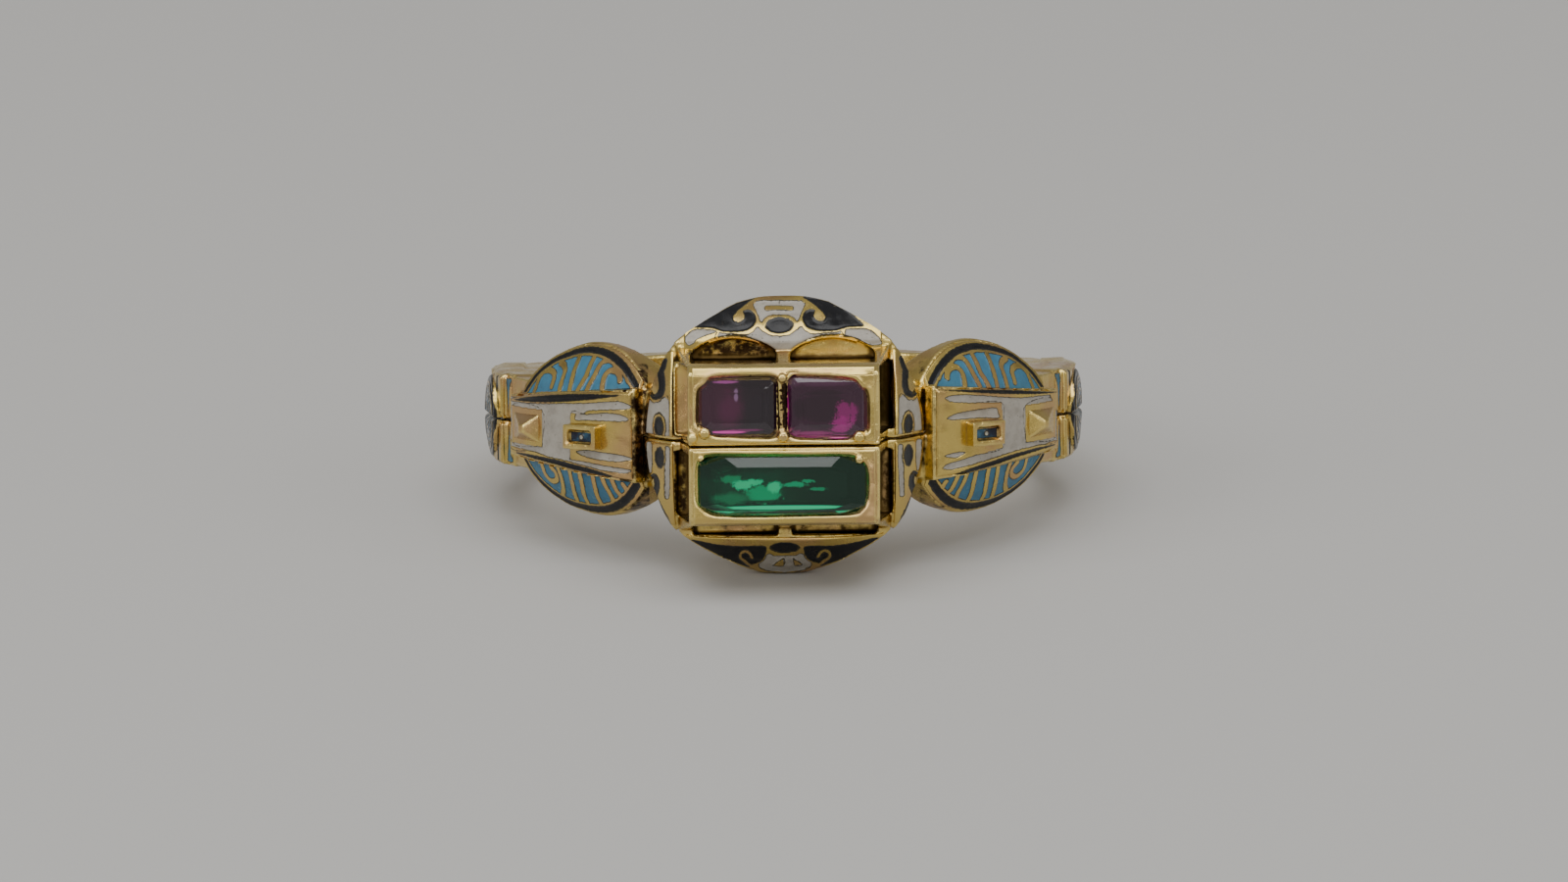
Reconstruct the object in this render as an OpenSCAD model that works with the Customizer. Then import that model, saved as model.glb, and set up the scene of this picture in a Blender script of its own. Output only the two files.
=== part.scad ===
// Gimmel ring: two enamelled gold hoops that lie flat on each other and turn on a pin at the back.
// Each hoop carries half of a box bezel. The upper half holds two rubies and the lower half an emerald.
// Ring axes: Z is the finger's axis, the bezel faces -Y and the pin is at +Y. Millimetres.
// Angles round the ring count from the bezel, 0, to the pin, 180, and the right side is +X.

/* [Band] */
// Radius of the finger hole
finger_r = 9.2; // [9.1:0.05:9.3]
// Radius of the band's outer face, whose centre lies a little towards the bezel
band_r = 10.6; // [10.5:0.05:10.7]
// How far that centre lies towards the bezel, which thins the band at the back
band_shift = 0.25; // [0.15:0.05:0.3]
// Half the width of the closed band at the back
back_half = 1.35; // [1.2:0.05:1.5]
// Half the width of the closed band at the sides
side_half = 1.66; // [1.6:0.01:1.7]
// Gap between the two hoops
split_gap = 0.08; // [0.06:0.01:0.12]

/* [Shoulders] */
// Radius of the strap's outer face
strap_r = 11.22; // [11.15:0.01:11.3]
// Radius of the strap's underside where it overlaps the other hoop
strap_floor = 10.8; // [10.75:0.01:10.85]
// Half the width of the strap at its bezel end
strap_wide = 1.75; // [1.6:0.01:1.8]
// Half the width of the strap at its far end
strap_narrow = 1.12; // [1.0:0.02:1.2]
// Height of a shoulder lobe's tip above the parting
lobe_top = 3.22; // [3.1:0.02:3.3]

/* [Bezel] */
// Radius of the bezel's round base at the rims of the upper and lower lobes
base_r = 5.12; // [5.0:0.02:5.2]
// Distance of the gem frame's face from the ring's axis
face_y = 14.0; // [13.8:0.05:14.2]
// Half the width of the gem frame
frame_x = 3.47; // [3.4:0.01:3.5]
// Half the height of the gem frame, both halves together
frame_z = 2.92; // [2.9:0.01:3.0]
// Depth of the hollows behind the lobes' rims
hollow_floor = 10.7; // [10.6:0.05:10.9]

/* [Pin] */
// Radius of the pivot pin
pin_r = 0.36; // [0.3:0.02:0.4]
// Gap round the pin
pin_gap = 0.03; // [0.02:0.01:0.05]

/* [Hidden] */
$fn = 72;
UPPER = 1;
LOWER = -1;
far = 30;

// Colours
gold = "#c9a35a";
ruby_red = "#6a1240";
emerald_green = "#0c6b4a";
white_enamel = "#b9b5ae";
black_enamel = "#23242a";
blue_enamel = "#4a86a4";

// Enamel lies in cells cut into the gold, with a hair of room round it
cell_depth = 0.16;
cell_room = 0.02;

// Shoulder lobes: the outward bulge is an arc in the plane of the finger's axis
dome_centre = 6.815;
dome_arc_r = 4.32;
shoulder_angle = 48;
lobe_peak_u = -0.7;
lobe_r = 3.9;
lobe_near_u = -3.65;

// Strap ends, along the shoulder from its middle, with the bosses on it
strap_bezel_u = -3.62;
strap_far_u = 3.3;
strap_room = 0.08;
nub_angle = 58.5;
nub = [2.05, 1.05, 0.5];
loop_angle = 40.5;
loop = [1.6, 0.9, 0.42];
boss_sink = 0.3;

// Collar and medallion at the sides
collar_r = 10.95;
collar_half = 1.72;
bearing_half = 1.45;
collar_from = 70;
collar_to = 98.5;
collar_edge = 3.2;
medallion_angle = 88.6;
medallion_r = 1.66;
medallion_top = 11.25;
medallion_arc_r = 5.6;

// Bezel: corners of the box at its foot, and the arcs of the lobes
foot_y = 10.5;
foot_x = 3.9;
foot_z = 3.38;
upper_flank = [6.97, 10.15, 17.3];
lower_flank = [4.48, 6.64, 12.85];
rim_y = 11.55;
lobe_arc = [7.43, 0.6, 5.08];
side_axis_y = 5.6;
side_arc = [-1.57, 1.47, 7.21];
front_lip = 0.45;
strut = 0.24;

// Gems: half length, half height, height of the middle above the parting, corner cut, and how much
// wider the steps are at the ends
emerald_size = [3.06, 1.14, 1.38, 0.42, 1.7];
ruby_left_size = [1.4, 1.12, 1.44, 0.16, 1];
ruby_right_size = [1.44, 1.13, 1.4, 0.22, 1];
ruby_left_x = -1.67;
ruby_right_x = 1.6;
girdle_y = 13.75;
seat_floor = 12.4;
seat_room = 0.04;
table_y = 14.22;

// Pin at the back
pin_y = 9.78;
pin_head_r = 0.5;
pin_head_t = 0.25;

// The ring rests on the bezel's lower lobe, worn flat there, and on the band's edge at the back.
// The bezel's base tapers to the finger by the same angle, so the worn flat runs along it.
rim_reach = 9.65;
worn = 0.05;
back_y = band_r - band_shift;
tilt = atan2(base_r - back_half - worn, rim_reach + back_y);
lift = back_y * sin(tilt) + back_half * cos(tilt);
front_reach = table_y * cos(tilt) + (ruby_right_size[2] + ruby_right_size[1] * 0.6) * sin(tilt);
back_reach = back_y * cos(tilt) + back_half * sin(tilt);
shift_y = (front_reach - back_reach) / 2;

module rest() translate([0, shift_y, lift]) rotate([-tilt, 0, 0]) children();

module at_angle(a) rotate([0, 0, a]) children();

// side is 1 on the right and -1 on the left
module on_side(side) mirror([side < 0 ? 1 : 0, 0, 0]) children();

// A flat outline in X and Z, pushed out from the ring's axis towards the bezel
module outwards(reach = 13) rotate([90, 0, 0]) linear_extrude(reach) children();

module half_space(half, gap = split_gap)
    translate([-far / 2, -far / 2, half > 0 ? gap / 2 : -far - gap / 2]) cube(far);

module ring_arc(from, to) rotate([0, 0, from - 90]) rotate_extrude(angle = to - from) children();

// The bands bear on the finger. Past them the hole widens, so the bezel and the shoulders stand clear
module finger_hole() {
    flare = 0.1;
    reach = 6;
    cylinder(h = far, r = finger_r, center = true);
    for (half = [UPPER, LOWER]) mirrored_half(half)
        cylinder(h = reach, r1 = finger_r - bearing_half * flare, r2 = finger_r + (reach - bearing_half) * flare);
}

// Plain band, narrower towards the back
module band() {
    side_y = -1.5;
    intersection() {
        translate([0, -band_shift, 0]) cylinder(h = 2 * side_half, r = band_r, center = true);
        rotate([90, 0, 90]) linear_extrude(far, center = true)
            polygon([[-far / 2, -side_half], [side_y, -side_half], [6, -back_half], [far / 2, -back_half],
                     [far / 2, back_half], [6, back_half], [side_y, side_half], [-far / 2, side_half]]);
    }
}

// Outline of one shoulder lobe above the parting, taken in by inset
module lobe_outline(inset = 0)
    intersection() {
        translate([lobe_peak_u, lobe_top - lobe_r]) circle(lobe_r - inset);
        translate([lobe_near_u + inset, 0]) square([8, lobe_top]);
    }

module lobe_outlines(inset = 0) {
    lobe_outline(inset);
    mirror([0, 1]) lobe_outline(inset);
}

// Body of revolution under the shoulder lobes, its skin taken in by depth
module dome_body(depth = 0)
    rotate_extrude() intersection() {
        translate([dome_centre, 0]) circle(dome_arc_r - depth);
        translate([finger_r - 0.3, -4]) square([4, 8]);
    }

module shoulder()
    intersection() {
        dome_body();
        at_angle(shoulder_angle) outwards() lobe_outlines();
    }

module strap_outline(grow = 0)
    polygon([[strap_bezel_u - grow, -strap_wide - grow], [strap_far_u + grow, -strap_narrow - grow],
             [strap_far_u + grow, strap_narrow + grow], [strap_bezel_u - grow, strap_wide + grow]]);

module tube(inner, outer)
    difference() {
        cylinder(h = 10, r = outer, center = true);
        cylinder(h = 11, r = inner, center = true);
    }

// Four sided point on the strap's far end, its ridge towards the bezel
module nub_boss()
    at_angle(nub_angle) translate([0, -strap_r, 0]) intersection() {
        translate([0, boss_sink, 0]) linear_extrude(nub[1], center = true)
            polygon([[-nub[0] / 2, 0], [nub[0] / 2, 0], [nub[0] / 2, -boss_sink + 0.05],
                     [-0.35, -boss_sink - nub[2]], [-0.65, -boss_sink - nub[2]],
                     [-nub[0] / 2, -boss_sink + 0.05]]);
        rotate([90, 0, 90]) linear_extrude(nub[0], center = true)
            polygon([[boss_sink, -nub[1] / 2], [0, -nub[1] / 2], [-nub[2], -0.14],
                     [-nub[2], 0.14], [0, nub[1] / 2], [boss_sink, nub[1] / 2]]);
    }

// Raised loop on the strap's bezel end, hollowed for its dark enamel
module loop_boss()
    at_angle(loop_angle) translate([0, -strap_r, -0.12]) difference() {
        translate([-loop[0] / 2, -loop[2], -loop[1] / 2]) cube([loop[0], loop[2] + boss_sink, loop[1]]);
        translate([-loop[0] / 2 + 0.22, -loop[2] - 1, -loop[1] / 2 + 0.2])
            cube([loop[0] - 0.44, 1 + cell_depth, loop[1] - 0.4]);
    }

// Whole strap on its own hoop: its foot is sunk into the shoulder on the half that carries it
module strap(half)
    union() {
        intersection() {
            tube(strap_floor, strap_r);
            at_angle(shoulder_angle) outwards() strap_outline();
        }
        intersection() {
            tube(9.9, strap_r - 0.1);
            at_angle(shoulder_angle) outwards() strap_outline();
            half_space(half);
        }
        nub_boss();
        loop_boss();
    }

// Room for the strap that the other hoop carries
module strap_seat()
    intersection() {
        tube(strap_floor - strap_room, strap_r + 2);
        at_angle(shoulder_angle) outwards() strap_outline(strap_room);
    }

module collar() {
    foot_r = 9.8;
    ring_arc(collar_from, collar_to) translate([foot_r, -collar_half])
        square([10.72 - foot_r, 2 * collar_half]);
    ring_arc(collar_from + collar_edge, collar_to - collar_edge) translate([foot_r + 0.1, 0.05 - collar_half])
        square([collar_r - foot_r - 0.1, 2 * collar_half - 0.1]);
    medallion();
}

module medallion()
    at_angle(medallion_angle) intersection() {
        outwards(medallion_top) circle(medallion_r);
        translate([0, medallion_arc_r - medallion_top, 0]) sphere(medallion_arc_r);
        translate([-3, -far, -3]) cube([6, far - 10, 6]);
    }

// Bezel lobes above and below the box: bodies of revolution round the finger's axis
module end_lobe_body(depth = 0)
    rotate_extrude() for (half = [UPPER, LOWER]) mirror([0, half < 0 ? 1 : 0])
        intersection() {
            translate([lobe_arc[0], lobe_arc[1]]) circle(lobe_arc[2] - depth);
            translate([finger_r - 0.3, 0]) square([rim_y - depth - finger_r + 0.3, 6]);
        }

// Bezel lobes left and right of the box: bodies of revolution round a crosswise axis
module side_lobe_body(depth = 0)
    translate([0, -side_axis_y, 0]) rotate([0, 90, 0]) rotate_extrude() for (side = [1, -1])
        mirror([0, side < 0 ? 1 : 0]) intersection() {
            translate([side_arc[1], side_arc[0]]) circle(side_arc[2] - depth);
            square([rim_y - depth - side_axis_y, 6]);
        }

// The part of the bezel's front that belongs to the upper lobe
module end_quarter() {
    spread = 0.5 + (foot_x - 0.5) / foot_z * 6;
    polygon([[-0.5, -0.02], [0.5, -0.02], [spread, 6], [-spread, 6]]);
}

// Cone round an axis that runs through x and z, radius at the lobes' rims, tapering towards the finger
module cone_out(x, z, radius) {
    slope = tan(tilt);
    near = 7;
    reach = 13;
    translate([x, -near, z]) rotate([90, 0, 0])
        cylinder(h = reach - near, r1 = radius - (rim_reach - near) * slope,
                 r2 = radius + (reach - rim_reach) * slope);
}

module bezel_lobes() {
    for (half = [UPPER, LOWER]) mirrored_half(half) {
        flank = half == UPPER ? upper_flank : lower_flank;
        intersection() {
            end_lobe_body();
            cone_out(0, 0, base_r);
            cone_out(-flank[0], -flank[1], flank[2]);
            cone_out(flank[0], -flank[1], flank[2]);
            outwards() end_quarter();
        }
    }
    intersection() {
        side_lobe_body();
        cone_out(0, 0, base_r);
        outwards() difference() {
            square(14, center = true);
            end_quarter();
            mirror([0, 1]) end_quarter();
        }
    }
}

// Box under the gem frame, widening to its foot
module box()
    intersection() {
        linear_extrude(8, center = true)
            polygon([[-foot_x, -9], [-foot_x, -foot_y], [-frame_x, -face_y + front_lip], [-frame_x, -face_y],
                     [frame_x, -face_y], [frame_x, -face_y + front_lip], [foot_x, -foot_y], [foot_x, -9]]);
        rotate([90, 0, 90]) linear_extrude(10, center = true)
            polygon([[-9, -foot_z], [-foot_y, -foot_z], [-face_y + front_lip, -frame_z],
                     [-face_y, -frame_z + 0.25], [-face_y, frame_z - 0.25], [-face_y + front_lip, frame_z],
                     [-foot_y, foot_z], [-9, foot_z]]);
    }

// Hollows between the box and the lobes' rims: scalloped above, straight below and at the sides
module hollows() {
    low = frame_z - 0.06;
    span = frame_x - strut - 0.12;
    pushed = face_y - front_lip;
    module cut() translate([0, -hollow_floor, 0]) outwards(pushed - hollow_floor) children();
    for (side = [1, -1]) on_side(side) {
        cut() intersection() {
            translate([strut + span / 2, low - 1.55]) circle(2.42);
            translate([strut, low]) square([span, 1]);
        }
        cut() translate([strut, -low - 0.66]) square([span, 0.66]);
        for (half = [UPPER, LOWER])
            cut() translate([frame_x - 0.05, half > 0 ? 0.36 : -2.8]) square([0.5, 2.44]);
    }
}

// A gem's outline: a rectangle with cut corners, scaled about its middle
function gem_ring(size, shrink, y) =
    let (l = size[0] - shrink * size[4], h = size[1] - shrink, c = size[3])
    [[l, -y, h - c], [l - c, -y, h], [c - l, -y, h], [-l, -y, h - c],
     [-l, -y, c - h], [c - l, -y, -h], [l - c, -y, -h], [l, -y, c - h]];

// Step cut: rings of eight corners from the table back to the keel
module gem(size, x, z) {
    rows = [[0.42, table_y], [0.14, 14.06], [0, girdle_y + 0.06], [0, girdle_y], [0.3, 13.2], [0.55, 12.75]];
    points = [for (r = rows) each gem_ring(size, r[0], r[1])];
    last = len(rows) - 1;
    faces = concat([[for (k = [0:7]) k]], [[for (k = [7:-1:0]) last * 8 + k]],
        [for (r = [0:last - 1], k = [0:7])
            [r * 8 + k, (r + 1) * 8 + k, (r + 1) * 8 + (k + 1) % 8, r * 8 + (k + 1) % 8]]);
    translate([x, 0, z]) polyhedron(points, faces);
}

module seat(size, x, z)
    translate([x, -seat_floor, z]) outwards(3)
        polygon([for (p = gem_ring([size[0] + seat_room, size[1] + seat_room, 0, size[3], 1], 0, 0)) [p[0], p[2]]]);

module bead(x, z) translate([x, -face_y, z]) sphere(0.2, $fn = 24);

// Gold bezel before it is parted
module bezel()
    difference() {
        union() {
            bezel_lobes();
            box();
            for (x = [-frame_x + 0.16, frame_x - 0.16]) bead(x, 0.34);
            bead(0, 2.72);
        }
        hollows();
        seat(emerald_size, 0, -emerald_size[2]);
        seat(ruby_left_size, ruby_left_x, ruby_left_size[2]);
        seat(ruby_right_size, ruby_right_x, ruby_right_size[2]);
    }

// Outlines of the enamel cells. Those of the straps and lobes lie on the shoulder's flat outline
module strap_white_cell(grow = 0) {
    near = strap_bezel_u + 0.35;
    for (side = [1, -1]) mirror([0, side < 0 ? 1 : 0]) {
        offset_w = 0.02;
        polygon([[near + 2.9, 0], [strap_far_u - 0.1 + grow, 0], [strap_far_u - 0.1 + grow, 0.86 + grow],
                 [near, 1.3 + grow + offset_w], [near - grow, 1.18], [near, 1.05 - grow], [near + 2.1, 0.98 - grow],
                 [near + 2.1, 0.86 + grow], [near, 0.86 + grow], [near - grow, 0.76], [near, 0.62 - grow],
                 [near + 2.4, 0.62 - grow]]);
    }
}

module strap_black_cell(half, grow = 0)
    for (side = [1, -1]) {
        bulge = side == half ? 0.14 : 0.07;
        slope = -asin((strap_wide - strap_narrow) / (strap_far_u - strap_bezel_u));
        mirror([0, side < 0 ? 1 : 0]) translate([0, (strap_wide + strap_narrow) / 2 - 0.16]) rotate(slope)
            polygon([for (k = [-8:8]) [k / 8 * (3 + grow), bulge * (1 - pow(k / 8, 2)) + 0.03 + grow],
                     for (k = [8:-1:-8]) [k / 8 * (3 + grow), -bulge * (1 - pow(k / 8, 2)) - 0.03 - grow]]);
    }

module lobe_blue_cell(grow = 0)
    difference() {
        lobe_outline(0.55 - grow);
        polygon([[-5, -2], [5, -2], [5, strap_narrow + 0.02 - grow], [-5, strap_wide + 0.3 - grow]]);
    }

module lobe_black_cell(grow = 0)
    difference() {
        lobe_outline(0.14 - grow);
        lobe_outline(0.42 + grow);
        polygon([[-5, -2], [5, -2], [5, strap_narrow + 0.4 - grow], [-5, strap_wide + 0.15 - grow]]);
    }

module end_white_cell(grow = 0) {
    polygon([[-0.52 - grow, 4.28 - grow], [0.52 + grow, 4.28 - grow], [0.74 + grow, 4.86 + grow],
             [-0.74 - grow, 4.86 + grow]]);
    polygon([[-2.2 - grow, 3.84 - grow], [-0.35, 3.62 - grow], [0.35, 3.62 - grow], [2.2 + grow, 3.84 - grow],
             [2.1 + grow, 4.0 + grow], [0.35, 3.8 + grow], [-0.35, 3.8 + grow], [-2.1 - grow, 4.0 + grow]]);
}

module end_black_cell(grow = 0) {
    translate([0, 4.04]) circle(0.19 + grow, $fn = 32);
    for (side = [1, -1]) mirror([side < 0 ? 1 : 0, 0]) {
        translate([1.42, 4.28]) circle(0.2 + grow, $fn = 32);
        polygon([[1.2, 4.82 + grow], [2.1, 4.5 + grow], [2.9 + grow, 3.98 - grow], [2.0, 3.94 - grow],
                 [1.5 - grow, 4.0 - grow], [1.6, 4.3], [1.9, 4.3]]);
    }
}

module side_white_cell(grow = 0)
    for (x = [4.22, 4.62]) translate([x - grow, 0.62 - grow]) square([0.12 + 2 * grow, 1.1 + 2 * grow]);

module side_black_cell(grow = 0) {
    translate([4.4 - grow, 0.2 - grow]) square([0.16 + 2 * grow, 0.5 + 2 * grow]);
    difference() {
        translate([4.3 - grow, 1.9 - grow]) square([0.5 + 2 * grow, 0.8 + 2 * grow]);
        translate([4.5, 2.1]) circle(0.12 - grow, $fn = 24);
    }
}

module mirrored_half(half) mirror([0, 0, half < 0 ? 1 : 0]) children();

module both_sides() for (side = [1, -1]) on_side(side) children();

module shell_of_dome(depth) difference() {
    dome_body(-1);
    dome_body(depth);
}

// The enamel of one half as cutters, grow over 0, or as solids, grow 0
module lobe_enamel(half, dark, grow = 0)
    mirrored_half(half) both_sides() intersection() {
        difference() {
            dome_body(grow > 0 ? -0.5 : 0);
            dome_body(cell_depth + grow);
        }
        at_angle(shoulder_angle) outwards()
            if (dark) lobe_black_cell(grow); else lobe_blue_cell(grow);
    }

module end_enamel(half, dark, grow = 0)
    mirrored_half(half) intersection() {
        difference() {
            end_lobe_body(grow > 0 ? -0.5 : 0);
            end_lobe_body(cell_depth + grow);
        }
        outwards() if (dark) end_black_cell(grow); else end_white_cell(grow);
    }

module side_enamel(half, dark, grow = 0)
    mirrored_half(half) both_sides() intersection() {
        difference() {
            side_lobe_body(grow > 0 ? -0.5 : 0);
            side_lobe_body(cell_depth + grow);
        }
        translate([0, -8, 0]) outwards(5) if (dark) side_black_cell(grow); else side_white_cell(grow);
    }

module strap_enamel(half, dark, grow = 0)
    intersection() {
        tube(strap_r - cell_depth - grow, strap_r + (grow > 0 ? 1 : 0));
        difference() {
            at_angle(shoulder_angle) outwards()
                if (dark) strap_black_cell(half, grow); else strap_white_cell(grow);
            if (grow == 0) bosses_room();
        }
    }

module bosses_room() {
    at_angle(nub_angle) outwards() square([nub[0] + 0.06, nub[1] + 0.06], center = true);
    at_angle(loop_angle) outwards() translate([0, -0.12]) square([loop[0] + 0.06, loop[1] + 0.06], center = true);
}

// Domed enamel of the medallions, parted like the gold
module medallion_enamel(half, grow = 0)
    both_sides() intersection() {
        at_angle(medallion_angle) translate([0, -10, 0]) outwards(3) circle(medallion_r - 0.16 + grow);
        at_angle(medallion_angle) translate([0, medallion_arc_r - medallion_top, 0]) difference() {
            sphere(medallion_arc_r + (grow > 0 ? 0.5 : 0));
            sphere(medallion_arc_r - cell_depth - grow);
        }
        half_space(half, 0.3 - 2 * grow);
    }

// Gold of one half. The strap on its own side overlaps the other hoop, whose strap overlaps this one
module hoop(half) {
    own_side = half > 0 ? -1 : 1;
    difference() {
        union() {
            difference() {
                intersection() {
                    union() {
                        band();
                        bezel();
                        both_sides() {
                            shoulder();
                            collar();
                        }
                    }
                    half_space(half);
                }
                on_side(-own_side) strap_seat();
            }
            on_side(own_side) strap(half);
        }
        finger_hole();
        pin_hole();
        rotate([tilt, 0, 0]) translate([-8, -20, -lift - 3]) cube([16, 16, 3]);
        lobe_enamel(half, true, cell_room);
        lobe_enamel(half, false, cell_room);
        end_enamel(half, true, cell_room);
        end_enamel(half, false, cell_room);
        side_enamel(half, true, cell_room);
        side_enamel(half, false, cell_room);
        medallion_enamel(half, cell_room);
        on_side(own_side) {
            difference() {
                strap_enamel(half, false, cell_room);
                bosses_room();
            }
            strap_enamel(half, true, cell_room);
        }
    }
}

module pin_hole() translate([0, pin_y, 0]) {
    cylinder(h = far, r = pin_r + pin_gap, center = true);
    for (half = [UPPER, LOWER]) mirrored_half(half)
        translate([0, 0, back_half - pin_head_t - pin_gap]) cylinder(h = 2, r = pin_head_r + pin_gap);
}

// Plain rivet, its heads let into both hoops
module pivot_pin()
    color(gold) rest() translate([0, pin_y, 0]) {
        cylinder(h = 2 * back_half, r = pin_r, center = true);
        for (half = [UPPER, LOWER]) mirrored_half(half)
            translate([0, 0, back_half - pin_head_t]) cylinder(h = pin_head_t, r = pin_head_r);
    }

module ruby_hoop() color(gold) rest() hoop(UPPER);
module emerald_hoop() color(gold) rest() hoop(LOWER);
module emerald() color(emerald_green) rest() gem(emerald_size, 0, -emerald_size[2]);
module ruby_left() color(ruby_red) rest() gem(ruby_left_size, ruby_left_x, ruby_left_size[2]);
module ruby_right() color(ruby_red) rest() gem(ruby_right_size, ruby_right_x, ruby_right_size[2]);
module left_strap_white() color(white_enamel) rest() on_side(-1) strap_enamel(UPPER, false);
module left_strap_black() color(black_enamel) rest() on_side(-1) strap_enamel(UPPER, true);
module right_strap_white() color(white_enamel) rest() strap_enamel(LOWER, false);
module right_strap_black() color(black_enamel) rest() strap_enamel(LOWER, true);
module upper_lobe_blue() color(blue_enamel) rest() lobe_enamel(UPPER, false);
module lower_lobe_blue() color(blue_enamel) rest() lobe_enamel(LOWER, false);
module upper_lobe_black() color(black_enamel) rest() lobe_enamel(UPPER, true);
module lower_lobe_black() color(black_enamel) rest() lobe_enamel(LOWER, true);
module bezel_white(half) color(white_enamel) rest() {
    end_enamel(half, false);
    side_enamel(half, false);
}
module bezel_black(half) color(black_enamel) rest() {
    end_enamel(half, true);
    side_enamel(half, true);
}
module upper_bezel_white() bezel_white(UPPER);
module lower_bezel_white() bezel_white(LOWER);
module upper_bezel_black() bezel_black(UPPER);
module lower_bezel_black() bezel_black(LOWER);
module upper_medallions() color(white_enamel) rest() medallion_enamel(UPPER);
module lower_medallions() color(white_enamel) rest() medallion_enamel(LOWER);

ruby_hoop();
ruby_left();
ruby_right();
left_strap_white();
left_strap_black();
upper_lobe_blue();
upper_lobe_black();
upper_bezel_white();
upper_bezel_black();
upper_medallions();
emerald_hoop();
emerald();
pivot_pin();
right_strap_white();
right_strap_black();
lower_lobe_blue();
lower_lobe_black();
lower_bezel_white();
lower_bezel_black();
lower_medallions();
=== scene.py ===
import math

import bmesh
import bpy
import numpy as np
from mathutils import Matrix, Vector


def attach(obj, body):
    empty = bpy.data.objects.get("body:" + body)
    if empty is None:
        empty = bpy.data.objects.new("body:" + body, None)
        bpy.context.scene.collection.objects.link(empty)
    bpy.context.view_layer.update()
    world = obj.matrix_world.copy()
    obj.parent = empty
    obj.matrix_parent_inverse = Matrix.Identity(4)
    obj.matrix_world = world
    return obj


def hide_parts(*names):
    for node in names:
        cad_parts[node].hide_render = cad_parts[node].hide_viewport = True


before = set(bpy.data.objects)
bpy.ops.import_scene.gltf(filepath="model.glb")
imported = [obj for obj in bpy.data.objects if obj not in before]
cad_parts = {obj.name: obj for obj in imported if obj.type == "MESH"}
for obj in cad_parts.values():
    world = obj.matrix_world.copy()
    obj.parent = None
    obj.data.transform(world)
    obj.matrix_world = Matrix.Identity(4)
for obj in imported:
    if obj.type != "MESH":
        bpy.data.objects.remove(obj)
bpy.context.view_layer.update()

# The ring lies on its bezel's lower lobe and on the back of its hoops, so the finger's axis leans.
# Ring axes: Z is the finger's axis, the bezel faces -Y, +X is the right side, and the unit is the
# millimetre. Every piece is modelled in these axes, and finish_piece lays it down.
MM_PER_METRE = 1000.0
BASE_R = 5.12
BASE_Y = 9.65
LOBE_FLAT_SPOT = 0.05
BACK_HALF = 1.35
BACK_Y = 10.35
FOREMOST_Y = 14.22
FOREMOST_Z = 2.078
LEAN = math.atan2(BASE_R - BACK_HALF - LOBE_FLAT_SPOT, BASE_Y + BACK_Y)
LIFT = BACK_Y * math.sin(LEAN) + BACK_HALF * math.cos(LEAN)
FRONT = FOREMOST_Y * math.cos(LEAN) + FOREMOST_Z * math.sin(LEAN)
BACK = BACK_Y * math.cos(LEAN) + BACK_HALF * math.sin(LEAN)
REST = Matrix.Translation((0, (FRONT - BACK) / 2, LIFT)) @ Matrix.Rotation(-LEAN, 4, "X")
LAID_DOWN = Matrix.Scale(1 / MM_PER_METRE, 4) @ REST

# Camera: a long lens in front of the bezel, 5.8 degrees above the plane of the hoops, turned half a
# degree so that the right side stands a little higher.
VIEW_UP = math.radians(5.8)
TURNED_BY = math.radians(-0.55)
DISTANCE = 350.0
SENSOR_WIDTH = 36.0
PICTURE_WIDTH, PICTURE_HEIGHT = 1600, 900
PIXELS_PER_MM = 27.1
RING_BELOW_TOP = 417
camera_data = bpy.data.cameras.new("camera")
camera = bpy.data.objects.new("camera", camera_data)
bpy.context.collection.objects.link(camera)
bpy.context.scene.camera = camera
camera_data.sensor_width = SENSOR_WIDTH
camera_data.lens = SENSOR_WIDTH * PIXELS_PER_MM * DISTANCE / PICTURE_WIDTH
camera_data.clip_start = 0.01
camera_data.clip_end = 5.0
turn = REST.to_3x3()
back_way = turn @ Vector((0, -math.cos(VIEW_UP), math.sin(VIEW_UP)))
up_way = turn @ Vector((0, math.sin(VIEW_UP), math.cos(VIEW_UP)))
drop = (PICTURE_HEIGHT / 2 - RING_BELOW_TOP) / PIXELS_PER_MM
aim = LAID_DOWN @ Vector((0, 0, 0)) - up_way * drop / MM_PER_METRE
eye = aim + back_way * DISTANCE / MM_PER_METRE
spin = Matrix.Rotation(TURNED_BY, 3, back_way)
facing = Matrix((spin @ up_way.cross(back_way), spin @ up_way, back_way)).transposed()
camera.matrix_world = Matrix.Translation(eye) @ facing.to_4x4()

# Floor and backdrop: one pale grey sheet of paper that curves up behind the ring.
PAPER_GREY = "#b0afad"
PAPER_LENGTH = 1.6
PAPER_HALF_WIDTH = 0.9
PAPER_FRONT = -0.45
CURVE_R = 0.25
CURVE_FROM = 0.75


def linear(hex_colour):
    """An sRGB hex colour as linear red, green, blue and alpha."""
    parts = [int(hex_colour[k:k + 2], 16) / 255 for k in (1, 3, 5)]
    return [p / 12.92 if p <= 0.04045 else ((p + 0.055) / 1.055) ** 2.4 for p in parts] + [1.0]


def node(tree, kind, settings=None, inputs=None):
    """Adds a shader node, with its settings, and its inputs as values or as sockets to link."""
    made = tree.nodes.new(kind)
    for key, value in (settings or {}).items():
        setattr(made, key, value)
    for key, value in (inputs or {}).items():
        if isinstance(value, bpy.types.NodeSocket):
            tree.links.new(value, made.inputs[key])
        else:
            made.inputs[key].default_value = value
    return made


def new_material(name):
    """An empty material's node tree with its shader, ready for the shader's sockets to be filled."""
    material = bpy.data.materials.new(name)
    material.use_nodes = True
    return material, material.node_tree, material.node_tree.nodes["Principled BSDF"]


def mesh_of(block, name):
    """The mesh of a finished block, which is freed."""
    mesh = bpy.data.meshes.new(name)
    block.to_mesh(mesh)
    block.free()
    return mesh


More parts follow.
